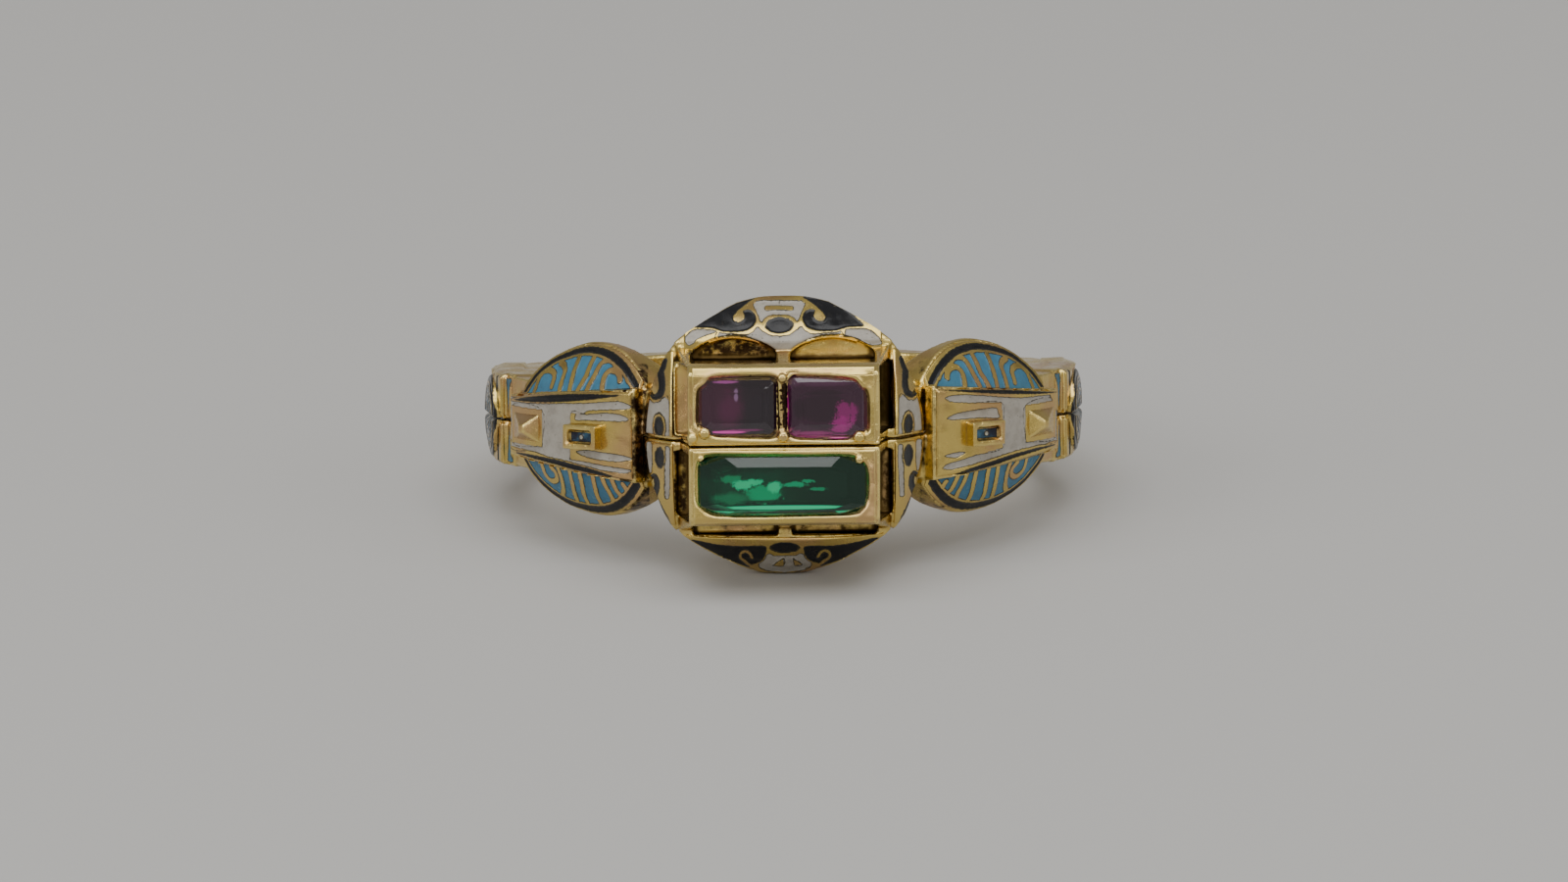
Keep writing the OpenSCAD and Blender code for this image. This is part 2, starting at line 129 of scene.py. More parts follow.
sheet = bmesh.new()
bmesh.ops.create_grid(sheet, x_segments=1, y_segments=48, size=1.0)
for v in sheet.verts:
    run = (v.co.y + 1) / 2 * PAPER_LENGTH
    bend = min(max(run - CURVE_FROM, 0.0), math.pi / 2 * CURVE_R)
    rise = max(run - CURVE_FROM - math.pi / 2 * CURVE_R, 0.0)
    v.co = Vector((v.co.x * PAPER_HALF_WIDTH,
                   PAPER_FRONT + min(run, CURVE_FROM) + CURVE_R * math.sin(bend / CURVE_R),
                   CURVE_R * (1 - math.cos(bend / CURVE_R)) + rise))
paper_mesh = mesh_of(sheet, "paper")
for p in paper_mesh.polygons:
    p.use_smooth = True
paper = bpy.data.objects.new("paper", paper_mesh)
bpy.context.collection.objects.link(paper)
# Matt paper: no shine, so only soft light and a faint shadow show on it.
paper_material, tree, shader = new_material("matt_paper")
shader.inputs["Base Color"].default_value = linear(PAPER_GREY)
shader.inputs["Roughness"].default_value = 0.9
paper_mesh.materials.append(paper_material)

# Light: a wide softbox overhead, a strip behind and above the camera, a weak box on each side, and a
# bright even room that leaves hardly a shadow.
world = bpy.data.worlds.new("studio")
bpy.context.scene.world = world
world.use_nodes = True
room = world.node_tree.nodes["Background"]
room.inputs["Color"].default_value = linear("#a8a6a2")
room.inputs["Strength"].default_value = 1.0


def softbox(name, place, size, watts):
    """An oblong soft light that faces the ring; its place and size are in metres."""
    lamp = bpy.data.lights.new(name, "AREA")
    lamp.shape = "RECTANGLE"
    lamp.size, lamp.size_y = size
    lamp.energy = watts
    lamp_object = bpy.data.objects.new(name, lamp)
    lamp_object.location = place
    lamp_object.rotation_euler = (Vector((0, 0, 0)) - Vector(place)).to_track_quat("-Z", "Y").to_euler()
    bpy.context.collection.objects.link(lamp_object)


softbox("softbox_top", (0.0, -0.15, 0.5), (0.7, 0.4), 2.5)
softbox("panel_front", (0.0, -0.55, 0.24), (0.5, 0.14), 0.5)
softbox("softbox_left", (-0.42, -0.3, 0.26), (0.2, 0.26), 0.8)
softbox("softbox_right", (0.45, -0.3, 0.22), (0.2, 0.26), 0.45)

# Gold hoops, one for each half: yellow gold, cast, filed and soldered by hand, with soft worn edges. The
# gold is bright where fingers rub it and keeps brown grime in its hollows; the deep slots, the other
# recesses and the shoulders' sides get painted shade, dark brown to black.
CLOSE_GAP = 0.0002
GOLD_VOXEL = 0.062
GOLD_FACES = 190000


def ring_copy(name):
    """A CAD node's mesh in ring millimetres, with its loose triangles joined."""
    solid = bmesh.new()
    solid.from_mesh(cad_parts[name].data)
    solid.transform(LAID_DOWN.inverted())
    bmesh.ops.remove_doubles(solid, verts=solid.verts, dist=CLOSE_GAP)
    return mesh_of(solid, name + "_copy")


def through_modifiers(mesh, *modifiers):
    """The mesh after these modifiers, given as kind and settings."""
    block = bpy.data.objects.new("block", mesh)
    bpy.context.collection.objects.link(block)
    for kind, settings in modifiers:
        added = block.modifiers.new(kind, kind)
        for key, value in settings.items():
            setattr(added, key, value)
    bpy.context.view_layer.update()
    done = bpy.data.meshes.new_from_object(block.evaluated_get(bpy.context.evaluated_depsgraph_get()))
    bpy.data.objects.remove(block)
    return done


def points_of(mesh):
    """The mesh's vertices and their normals, as two arrays with a row each."""
    points = np.empty(len(mesh.vertices) * 3)
    mesh.vertices.foreach_get("co", points)
    normals = np.empty(len(mesh.vertices) * 3)
    mesh.vertices.foreach_get("normal", normals)
    return points.reshape(-1, 3), normals.reshape(-1, 3)


def paint(mesh, name, values):
    """Stores one number for each vertex, for the material to read."""
    layer = mesh.attributes.get(name) or mesh.attributes.new(name, "FLOAT", "POINT")
    layer.data.foreach_set("value", np.asarray(values, dtype=np.float32))


def wobble(points, waves, length, seed):
    """Smooth unevenness between about -1 and 1, with bumps of about that length in millimetres."""
    rng = np.random.default_rng(seed)
    total = np.zeros(len(points))
    for k in range(waves):
        way = rng.normal(size=3)
        way *= 2 * math.pi / (length * rng.uniform(0.7, 1.5)) / np.linalg.norm(way)
        total += np.sin(points @ way + rng.uniform(0, 2 * math.pi))
    return total / math.sqrt(waves)


def hand_worked(points, normals):
    """The file's and the burnisher's unevenness, which gold and enamel share."""
    swell = 0.012 * wobble(points, 14, 1.9, 11) + 0.005 * wobble(points, 16, 0.7, 12)
    return points + normals * swell[:, None]


def smoothed(values, edges, rounds):
    """Each vertex's values averaged with its neighbours' this many times."""
    count = len(values)
    ends = np.concatenate([edges[:, 0], edges[:, 1]])
    others = np.concatenate([edges[:, 1], edges[:, 0]])
    degree = np.bincount(ends, minlength=count)
    result = np.array(values, dtype=float)
    for _ in range(rounds):
        gathered = np.stack([np.bincount(ends, weights=result[others, k], minlength=count)
                             for k in range(result.shape[1])], axis=1)
        result = (result + gathered / degree[:, None]) / 2
    return result


CREASE_ROUNDS = 4
CREASE_GAIN = 40
HOLLOW_ROUNDS = 36
HOLLOW_GAIN = 5


def add_wear(mesh):
    """Paints how far each point lies below a lightly and a well smoothed skin: above 0 in a crease or a
    hollow, where grime stays, and below 0 on an edge, where fingers rub."""
    points, normals = points_of(mesh)
    edges = np.empty(len(mesh.edges) * 2, dtype=int)
    mesh.edges.foreach_get("vertices", edges)
    edges = edges.reshape(-1, 2)
    near = smoothed(points, edges, CREASE_ROUNDS)
    far = smoothed(near, edges, HOLLOW_ROUNDS)
    paint(mesh, "crease", np.clip(((near - points) * normals).sum(axis=1) * CREASE_GAIN, -1, 1))
    paint(mesh, "hollow", np.clip(((far - points) * normals).sum(axis=1) * HOLLOW_GAIN, -1, 1))


def finish_piece(mesh, name, body, materials, replaced=(), faceted=False):
    """Lays the mesh down in the scene as a piece that rides on its half of the ring."""
    mesh.transform(LAID_DOWN)
    for p in mesh.polygons:
        p.use_smooth = not faceted
    for material in materials:
        mesh.materials.append(material)
    piece = bpy.data.objects.new(name, mesh)
    bpy.context.collection.objects.link(piece)
    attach(piece, body)
    if replaced:
        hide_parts(*replaced)
    return piece


def surface_noise(tree, size_mm, detail=3.0, rough=0.55, stretch=(1, 1, 1)):
    """Noise on the object's own coordinates, its bumps this many millimetres across."""
    place = node(tree, "ShaderNodeTexCoord")
    mapping = node(tree, "ShaderNodeMapping", {}, {"Vector": place.outputs["Object"], "Scale": stretch})
    return node(tree, "ShaderNodeTexNoise", {}, {
        "Vector": mapping.outputs["Vector"], "Scale": MM_PER_METRE / size_mm, "Detail": detail,
        "Roughness": rough}).outputs["Fac"]


def between(tree, value, low, high, to_low=0.0, to_high=1.0):
    """The value taken from low..high to to_low..to_high, with soft ends."""
    return node(tree, "ShaderNodeMapRange", {"interpolation_type": "SMOOTHSTEP"}, {
        "Value": value, "From Min": low, "From Max": high,
        "To Min": to_low, "To Max": to_high}).outputs["Result"]


def arith(tree, operation, first, second=0.5):
    """One step of arithmetic."""
    return node(tree, "ShaderNodeMath", {"operation": operation}, {0: first, 1: second}).outputs[0]


def mixed(tree, factor, first, second):
    """Two colours mixed; each is a hex colour or a socket."""
    inputs = {"Factor": factor}
    for key, colour in (("A", first), ("B", second)):
        inputs[key] = linear(colour) if isinstance(colour, str) else colour
    made = node(tree, "ShaderNodeMix", {"data_type": "RGBA"})
    slots = {"Factor": made.inputs[0], "A": made.inputs[6], "B": made.inputs[7]}
    for key, value in inputs.items():
        if isinstance(value, bpy.types.NodeSocket):
            tree.links.new(value, slots[key])
        else:
            slots[key].default_value = value
    return made.outputs[2]


def painted(tree, name):
    """A number that was painted on the vertices."""
    return node(tree, "ShaderNodeAttribute", {"attribute_name": name}).outputs["Fac"]


def gold_colour(tree, crease, hollow):
    """Yellow gold: pale where rubbed, pinkish in patches, brown in hollows, near black where tarnished and in
    painted shade.
    """
    patches = between(tree, surface_noise(tree, 2.2, 4.0), 0.42, 0.66)
    plain = mixed(tree, patches, "#d6bc6c", "#caa672")
    rubbed = mixed(tree, between(tree, crease, -0.1, -0.6), plain, "#e9d184")
    # Near black: real tarnish, and painted shade in the box's slots, most recesses and the shoulders' sides.
    tarnish_and_shade_edge = arith(tree, "ADD", painted(tree, "tarnish_and_shade"),
                       arith(tree, "MULTIPLY", surface_noise(tree, 0.4, 6.0, 0.7), 1.3))
    tarnished_and_shaded = mixed(tree, between(tree, tarnish_and_shade_edge, 1.1, 1.4), rubbed, "#33261a")
    grime_edge = arith(tree, "ADD", hollow, arith(tree, "MULTIPLY", surface_noise(tree, 0.35, 5.0), 0.5))
    dirty = mixed(tree, between(tree, grime_edge, 0.42, 0.95), tarnished_and_shaded, "#6a5530")
    in_creases = arith(tree, "ADD", crease, arith(tree, "MULTIPLY", surface_noise(tree, 0.2, 4.0), 0.6))
    return mixed(tree, between(tree, in_creases, 0.5, 1.05), dirty, "#33260f")


def worn_gold(name):
    """Yellow gold, cast and rubbed: a warm mirror softened by fine scratches and small pits."""
    material, tree, shader = new_material(name)
    crease = painted(tree, "crease")
    hollow = painted(tree, "hollow")
    tree.links.new(gold_colour(tree, crease, hollow), shader.inputs["Base Color"])
    shader.inputs["Metallic"].default_value = 1.0
    dull = arith(tree, "ADD", between(tree, surface_noise(tree, 0.8, 5.0), 0.3, 0.75, 0.17, 0.36),
                 between(tree, hollow, 0.1, 0.8, 0.0, 0.3))
    tree.links.new(dull, shader.inputs["Roughness"])
    scratches = surface_noise(tree, 0.05, 4.0, 0.7, (1.0, 0.22, 1.0))
    pits = between(tree, surface_noise(tree, 0.12, 2.0), 0.62, 0.8, 0.0, -1.0)
    grain = arith(tree, "ADD", arith(tree, "MULTIPLY", scratches, 0.5),
                  arith(tree, "ADD", pits, surface_noise(tree, 0.5, 3.0)))
    bump = node(tree, "ShaderNodeBump", {}, {"Strength": 0.5, "Distance": 0.000012, "Height": grain})
    tree.links.new(bump.outputs["Normal"], shader.inputs["Normal"])
    return material


hoop_gold = worn_gold("worn_yellow_gold")


def step(values, low, high):
    """A soft step from 0 to 1."""
    t = np.clip((np.asarray(values) - low) / (high - low), 0, 1)
    return t * t * (3 - 2 * t)


# Columns: left, right, low, high, near, far, how black. Rows: the recesses above and below the box, the
# box's slots, the web between the rubies, and the shoulders' sides. Only the upper left recess and the web
# are tarnished; the other recesses, the slots and the shoulders' sides are darkened with painted shade.
TARNISH_AND_SHADE = (
    (-3.5, -0.2, 2.8, 4.0, 10.4, 13.1, 0.72),
    (0.2, 3.5, 2.8, 4.0, 10.4, 13.1, 0.35),
    (-3.5, 3.5, -3.7, -2.8, 10.4, 13.1, 0.48),
    (-4.1, -3.4, -2.9, -0.3, 10.4, 13.3, 0.7),
    (3.4, 4.1, 0.3, 2.9, 10.4, 13.3, 1.0),
    (3.4, 4.1, -2.9, -0.3, 10.4, 13.3, 0.55),
    (-0.3, 0.2, 0.5, 2.35, 13.0, 14.5, 1.0),
    (-6.1, -4.9, -3.0, 2.6, 7.5, 11.4, 0.65),
    (4.9, 6.1, -3.0, 2.6, 7.5, 11.4, 0.5))
BOX_SOFTNESS = 0.08


def in_box(points, left, right, low, high, near, far):
    """1 well inside a box, 0 outside it, soft at its sides; near and far are distances in front."""
    inside = 1.0
    sides = ((points[:, 0], left, right), (points[:, 2], low, high), (-points[:, 1], near, far))
    for value, start, end in sides:
        inside = inside * step(value, start, start + BOX_SOFTNESS)
        inside = inside * (1 - step(value, end - BOX_SOFTNESS, end))
    return inside


def tarnish_and_shade_of(points):
    """Blackening at each point: real tarnish, and painted shade in the slots, recesses and shoulders' sides.
    """
    return np.maximum.reduce([in_box(points, *row[:6]) * row[6] for row in TARNISH_AND_SHADE])


# The box's upper left slot, as left, right, low and high. It is made shallow, so that light reaches in.
LIT_SLOT = (-3.97, -3.38, 0.3, 2.86)
SLOT_FLOOR_Y = 10.5
SLOT_MOUTH_Y = 13.5
SLOT_DEPTH_KEPT = 0.3
MEDALLION_SEAT_R = 10.98
MEDALLION_SEAT_X = 10.3
MEDALLION_SEAT_Z = 1.6


def gold_half(name, body, piece_name):
    """One half's gold, its edges worn soft and its surfaces a little uneven."""
    mesh = through_modifiers(
        ring_copy(name),
        ("REMESH", {"mode": "VOXEL", "voxel_size": GOLD_VOXEL, "adaptivity": 0.0}),
        ("SMOOTH", {"factor": 0.5, "iterations": 3}))
    triangles = sum(len(p.vertices) - 2 for p in mesh.polygons)
    if triangles > GOLD_FACES:
        mesh = through_modifiers(mesh, ("DECIMATE", {"ratio": GOLD_FACES / triangles}))
    points, normals = points_of(mesh)
    points = hand_worked(points, normals)
    left, right, low, high = LIT_SLOT
    shallow = (points[:, 0] > left) & (points[:, 0] < right) & (points[:, 2] > low) & (points[:, 2] < high)
    shallow &= (-points[:, 1] > SLOT_FLOOR_Y) & (-points[:, 1] < SLOT_MOUTH_Y)
    points[shallow, 1] = (points[shallow, 1] + SLOT_MOUTH_Y) * SLOT_DEPTH_KEPT - SLOT_MOUTH_Y
    from_axis = np.hypot(points[:, 0], points[:, 1])
    under_medallion = (from_axis > MEDALLION_SEAT_R) & (np.abs(points[:, 0]) > MEDALLION_SEAT_X)
    under_medallion &= np.abs(points[:, 2]) < MEDALLION_SEAT_Z
    points[under_medallion, :2] *= (MEDALLION_SEAT_R / from_axis[under_medallion])[:, None]
    mesh.vertices.foreach_set("co", points.ravel())
    mesh.update()
    # Tarnish, and painted shade in the slots, the other recesses and the shoulders' sides.
    paint(mesh, "tarnish_and_shade", tarnish_and_shade_of(points))
    add_wear(mesh)
    return finish_piece(mesh, piece_name, body, [hoop_gold], [name])


gold_half("ruby_hoop", "ruby_half", "upper_gold")
gold_half("emerald_hoop", "emerald_half", "lower_gold")

# Pivot pin: a plain yellow gold rivet through both hoops at the back, on which they turn. Its heads are
# filed flush, which leaves them a little duller than the hoops.
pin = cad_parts["pivot_pin"]
pin_gold, tree, shader = new_material("filed_yellow_gold")
tree.links.new(mixed(tree, surface_noise(tree, 0.4), "#d2ad66", "#b48f50"), shader.inputs["Base Color"])
shader.inputs["Metallic"].default_value = 1.0
shader.inputs["Roughness"].default_value = 0.3
pin.data.materials.clear()
pin.data.materials.append(pin_gold)

# Enamel: cells are cut into the gold, filled with coloured glass paste, fired and rubbed level. Each
# sheet is one stretch of surface with its cells and the gold between them, sunk a little at its border.
GRID_STEP = 0.036
SHEET_LIFT = 0.06
SHEET_DEPTH = 0.15
BORDER = 0.13
BORDER_SINK = 0.13
CELL_SINK = 0.03


def smooth_line(points, closed=False, parts=6):
    """A smooth line through a few points, whose further columns, such as a half width, run along."""
    p = np.array(points, dtype=float)
    before, after = (p[-1:], p[:2]) if closed else (2 * p[:1] - p[1:2], 2 * p[-1:] - p[-2:-1])
    q = np.concatenate([before, p, after])
    t = np.linspace(0, 1, parts, endpoint=False)[:, None]
    spans = []
    for a, b, c, d in zip(q[:-3], q[1:-2], q[2:-1], q[3:]):
        spans.append(b + 0.5 * t * (c - a + t * (2 * a - 5 * b + 4 * c - d + t * (3 * (b - c) + d - a))))
    return np.concatenate(spans + ([spans[0][:1]] if closed else [p[-1:]]))


def stroke(at, points, half_width=None):
    """How far each point lies inside a stroke with round ends, in millimetres, below 0 outside."""
    line = smooth_line(points) if len(points) > 2 else np.array(points, dtype=float)
    a, b = line[:-1], line[1:]
    run = b[:, :2] - a[:, :2]
    length = np.maximum((run * run).sum(axis=1), 1e-9)
    t = np.clip(((at[:, None] - a[:, :2]) * run).sum(axis=2) / length, 0, 1)
    away = np.sqrt(((a[:, :2] + t[..., None] * run - at[:, None]) ** 2).sum(axis=2))
    width = half_width if half_width else a[:, 2] + t * (b[:, 2] - a[:, 2])
    return (width - away).max(axis=1)


def cell(at, points, smooth=True):
    """How far each point lies inside a closed outline, in millimetres, below 0 outside."""
    line = smooth_line(points, closed=True) if smooth else np.array(points + points[:1], dtype=float)
    a, b = line[:-1], line[1:]
    crossing = (a[:, 1] > at[:, None, 1]) != (b[:, 1] > at[:, None, 1])
    rise = np.where(np.abs(b[:, 1] - a[:, 1]) < 1e-12, 1e-12, b[:, 1] - a[:, 1])
    left = at[:, None, 0] < a[:, 0] + (at[:, None, 1] - a[:, 1]) * (b[:, 0] - a[:, 0]) / rise
    inside = (crossing & left).sum(axis=1) % 2 == 1
    return np.where(inside, 1, -1) * -stroke(at, line, 1e-6)


def oval(at, middle, half_length, half_height):
    """How far inside an oval, about in millimetres."""
    reach = np.hypot((at[:, 0] - middle[0]) / half_length, (at[:, 1] - middle[1]) / half_height)
    return (1 - reach) * min(half_length, half_height)


def sheet_mesh(name, across, along):
    """A thin closed block on the unit square, divided as fine as the cells need."""
    block = bmesh.new()
    bmesh.ops.create_grid(block, x_segments=max(4, round(across / GRID_STEP)),
                          y_segments=max(4, round(along / GRID_STEP)), size=1.0)
    rim = [e for e in block.edges if e.is_boundary]
    sunk = bmesh.ops.extrude_edge_only(block, edges=rim)["geom"]
    bmesh.ops.translate(block, vec=(0, 0, -1), verts=[g for g in sunk if isinstance(g, bmesh.types.BMVert)])
    bmesh.ops.contextual_create(block, geom=[g for g in sunk if isinstance(g, bmesh.types.BMEdge)])
    bmesh.ops.recalc_face_normals(block, faces=block.faces)
    return mesh_of(block, name)


def enamel_sheet(name, across, along, flat, skin, draw, body, enamel_kind, replaced, depth=SHEET_DEPTH):
    """One enamelled stretch, across by along in rough size: flat places its grid in millimetres, skin
    bends it over the gold, and draw gives each colour's cells as distances inside them."""
    mesh = sheet_mesh(name, across, along)
    points, _ = points_of(mesh)
    across_part, along_part = (points[:, 0] + 1) / 2, (points[:, 1] + 1) / 2
    at = flat(across_part, along_part)
    place, out = skin(at)
    fields = draw(at)
    to_edge = np.minimum(np.minimum(across_part, 1 - across_part) * across,
                         np.minimum(along_part, 1 - along_part) * along)
    enamel = np.maximum.reduce(list(fields.values()))
    height = SHEET_LIFT - BORDER_SINK * (1 - step(to_edge, 0.0, BORDER))
    height -= CELL_SINK * step(enamel, -0.01, 0.05)
    height += 0.0035 * wobble(place, 14, 0.6, 21) * step(enamel, 0.0, 0.06)
    height += np.where(points[:, 2] < -0.5, -depth, 0)
    place = hand_worked(place, out) + out * height[:, None]
    mesh.vertices.foreach_set("co", place.ravel())
    mesh.update()
    for colour in ("white", "black", "blue"):
        paint(mesh, colour, fields.get(colour, np.full(len(at), -1.0)))
    paint(mesh, "crease", np.full(len(at), -0.1))
    paint(mesh, "hollow", 0.35 * (1 - step(to_edge, 0.0, 0.1)) - 0.1)
    return finish_piece(mesh, name, body, [enamel_kind], replaced)


def fired_enamel(name, white="#9d988e", blue="#3b6f89", black="#0d0e12"):
    """Gold with opaque enamels fired into it: glassy, cloudy colours with specks of dirt, and a dark seam
    where they meet the gold."""
    material, tree, shader = new_material(name)
    gold = gold_colour(tree, painted(tree, "crease"), painted(tree, "hollow"))
    ragged = between(tree, surface_noise(tree, 0.14, 4.0), 0.25, 0.75, -0.014, 0.014)
    cover, colour = None, gold
    shades = {
        "white": mixed(tree, between(tree, surface_noise(tree, 0.6, 6.0, 0.7), 0.4, 0.7), white, "#8b857b"),
        "blue": mixed(tree, between(tree, surface_noise(tree, 0.5, 5.0), 0.35, 0.75), blue, "#35637c"),
        "black": mixed(tree, between(tree, surface_noise(tree, 0.3, 6.0, 0.7), 0.55, 0.75), black, "#2a2620")}
    for key in ("white", "blue", "black"):
        edge = arith(tree, "ADD", painted(tree, key), ragged)
        seam = between(tree, edge, -0.03, -0.006)
        colour = mixed(tree, seam, colour, "#2c2818")
        inside = between(tree, edge, 0.004, 0.024)
        colour = mixed(tree, inside, colour, shades[key])
        cover = seam if cover is None else arith(tree, "MAXIMUM", cover, seam)
    specks = between(tree, surface_noise(tree, 0.09, 2.0), 0.68, 0.76)
    speckled = mixed(tree, arith(tree, "MULTIPLY", specks, cover), colour, "#40382a")
    tree.links.new(speckled, shader.inputs["Base Color"])
    tree.links.new(arith(tree, "SUBTRACT", 1.0, cover), shader.inputs["Metallic"])
    gloss = between(tree, surface_noise(tree, 0.7, 5.0), 0.3, 0.75, 0.14, 0.32)
    tree.links.new(gloss, shader.inputs["Roughness"])
    shader.inputs["Specular IOR Level"].default_value = 0.36
    grain = arith(tree, "ADD", arith(tree, "MULTIPLY", specks, -1.5), surface_noise(tree, 0.22, 4.0))
    bump = node(tree, "ShaderNodeBump", {}, {"Strength": 0.5, "Distance": 0.00001, "Height": grain})
    tree.links.new(bump.outputs["Normal"], shader.inputs["Normal"])
    return material


champleve = fired_enamel("fired_enamel_on_gold")

# Shoulder lobes: two rounded gold leaves on each side of the bezel, above and below the strap, cast with
# the hoop. A black band runs inside each rim, and gold scrolls stand in a light blue field.
SHOULDER_ANGLE = 48
SHOULDER_DOME_R = 4.32
SHOULDER_DOME_MIDDLE = 6.815
LEAF_START = -3.6
LEAF_LENGTH = 6.24
LOBE_MIDDLE = (-0.7, -0.68)
LOBE_R = 3.9
STRAP_R = 11.22
STRAP_ENDS = (-3.62, 3.3)
STRAP_HALF_WIDTHS = (1.75, 1.12)
SCROLL_HALF_WIDTH = 0.107
UPPER_SCROLLS = [
    [(1.75, 1.3), (1.6, 1.85), (1.4, 2.05), (1.1, 2.1), (0.8, 2.0), (0.7, 1.8), (0.7, 1.55)],
    [(0.7, 2.4), (0.45, 2.32), (0.25, 2.15), (0.22, 1.9), (0.2, 1.35)],
    [(-0.2, 2.6), (-0.25, 2.2), (-0.3, 1.95), (-0.35, 1.4)],
    [(-0.95, 2.65), (-0.95, 2.35), (-0.97, 2.05), (-0.9, 1.85), (-0.75, 1.45)],
    [(-2.15, 2.45), (-1.9, 2.6), (-1.62, 2.6), (-1.45, 2.5), (-1.38, 2.3), (-1.34, 2.0), (-1.2, 1.5)],
    [(-1.95, 1.5), (-1.83, 1.95), (-1.87, 2.18), (-2.03, 2.28), (-2.26, 2.25), (-2.46, 2.14), (-2.57, 1.95)],
    [(-2.45, 2.38), (-2.7, 2.2), (-2.95, 1.95)]]
LOWER_SCROLLS = [
    [(1.3, 1.3), (1.25, 1.75), (0.95, 1.95), (0.62, 1.85), (0.55, 1.6), (0.75, 1.4)],
    [(0.35, 1.3), (0.3, 1.7), (0.45, 2.2), (0.7, 2.45)],
    [(-0.35, 1.3), (-0.28, 1.75), (-0.1, 2.3), (0.0, 2.6)],
    [(-0.85, 1.4), (-0.75, 1.9), (-0.55, 2.4), (-0.5, 2.65)],
    [(-1.45, 1.4), (-1.38, 1.9), (-1.25, 2.35), (-1.2, 2.7)],
    [(-1.85, 1.5), (-1.88, 1.95), (-1.92, 2.35), (-1.85, 2.65)],
    [(-2.25, 1.5), (-2.28, 1.85), (-2.33, 2.2), (-2.55, 2.32), (-2.75, 2.12), (-2.7, 1.85)]]


def strap_half_width(u):
    """The strap tapers away from the bezel."""
    part = (u - STRAP_ENDS[0]) / (STRAP_ENDS[1] - STRAP_ENDS[0])
    return STRAP_HALF_WIDTHS[0] + (STRAP_HALF_WIDTHS[1] - STRAP_HALF_WIDTHS[0]) * part


def turned(side, x, y, z):
    """Points and directions in front of the shoulder, taken round to it; side is 1 right, -1 left."""
    angle = math.radians(SHOULDER_ANGLE)
    return np.stack([side * (x * math.cos(angle) - y * math.sin(angle)),
                     x * math.sin(angle) + y * math.cos(angle), z], axis=1)


def shoulder_skin(side, half):
    """The lobes' bulging skin: u runs away from the bezel and z away from the parting."""
    def skin(at):
        u, z = at[:, 0], at[:, 1]
        rise = np.sqrt(SHOULDER_DOME_R ** 2 - z ** 2)
        r = SHOULDER_DOME_MIDDLE + rise
        y = -np.sqrt(r ** 2 - u ** 2)
        out = turned(side, u / r, y / r, half * z / rise)
        return turned(side, u, y, half * z), out / np.linalg.norm(out, axis=1)[:, None]
    return skin


def lobe_flat(across_part, along_part):
    """The leaf between the strap's edge and its round outline."""
    u = LEAF_START + across_part * LEAF_LENGTH
    low = strap_half_width(u) - 0.12
    high = LOBE_MIDDLE[1] + np.sqrt((LOBE_R - 0.03) ** 2 - (u - LOBE_MIDDLE[0]) ** 2)
    return np.stack([u, low + (np.maximum(high, low + 0.05) - low) * along_part], axis=1)


def lobe_cells(scrolls, bezel_band, far_band):
    """Black band inside the rim, then a gold line, then blue with the gold scrolls in it."""
    def draw(at):
        inset = LOBE_R - np.hypot(at[:, 0] - LOBE_MIDDLE[0], at[:, 1] - LOBE_MIDDLE[1])
        far = step(at[:, 0], -0.4, 2.0)
        inner = bezel_band[1] + far * (far_band[1] - bezel_band[1])
        outer = bezel_band[0] + far * (far_band[0] - bezel_band[0])
        ends = np.minimum(at[:, 0] + 3.42, at[:, 1] - strap_half_width(at[:, 0]) - 0.03 * far)
        black = np.minimum(np.minimum(inset - outer, inner - inset), ends)
        blue = np.minimum(inset - inner - 0.095, at[:, 0] + 3.12 - 0.25 * (at[:, 1] - 1.7))
        for line in scrolls:
            blue = np.minimum(blue, -stroke(at, line, SCROLL_HALF_WIDTH))
        return {"black": black, "blue": blue}
    return draw


for side, side_name in ((-1, "left"), (1, "right")):
    enamel_sheet(f"upper_{side_name}_shoulder_enamel", 6.4, 2.0, lobe_flat, shoulder_skin(side, 1),
                 lobe_cells(UPPER_SCROLLS, (0.21, 0.42), (0.2, 0.35)), "ruby_half",
                 champleve, ["upper_lobe_blue", "upper_lobe_black"])
    enamel_sheet(f"lower_{side_name}_shoulder_enamel", 6.4, 2.0, lobe_flat, shoulder_skin(side, -1),
                 lobe_cells(LOWER_SCROLLS, (0.18, 0.42), (0.16, 0.32)), "emerald_half",
                 champleve, ["lower_lobe_blue", "lower_lobe_black"])

# Straps: a white enamelled gold tongue over each shoulder, soldered to one hoop and lying on the other.
# White runs out in fingers towards the bezel, with a black lens along the upper edge and a stripe below.
STRAP_BORDER = 0.04
LEFT_FIELD = [(3.18, 1.02), (0.9, 1.02), (-0.7, 1.06), (-1.6, 1.12), (-2.5, 1.22), (-3.1, 1.25),
              (-3.45, 1.14), (-3.5, 1.06), (-3.3, 0.98), (-2.5, 0.92), (-1.7, 0.85), (-1.4, 0.74),
              (-0.76, 0.68),
              (-0.72, -0.84), (-0.74, -1.0), (-1.6, -1.07), (-2.5, -1.16), (-3.3, -1.22), (-3.48, -1.28),
              (-3.3, -1.38), (-2.5, -1.34), (-1.6, -1.25), (-0.6, -1.13), (0.6, -0.98), (1.5, -0.86),
              (3.2, -0.8)]
RIGHT_FIELD = [(2.55, 0.96), (0.55, 1.02), (-0.6, 1.14), (-2.25, 1.34), (-2.9, 1.34), (-3.15, 1.26),
               (-2.9, 1.12), (-2.05, 1.02), (-0.5, 0.92), (-0.44, 0.1), (-0.46, -0.74), (-1.8, -0.92),
               (-2.5, -1.06), (-3.0, -1.14), (-3.3, -1.3), (-3.0, -1.38), (-2.5, -1.33), (-1.6, -1.19),
               (-0.5, -1.02), (0.5, -0.9), (1.6, -0.84), (3.15, -0.78), (3.15, 0.2)]
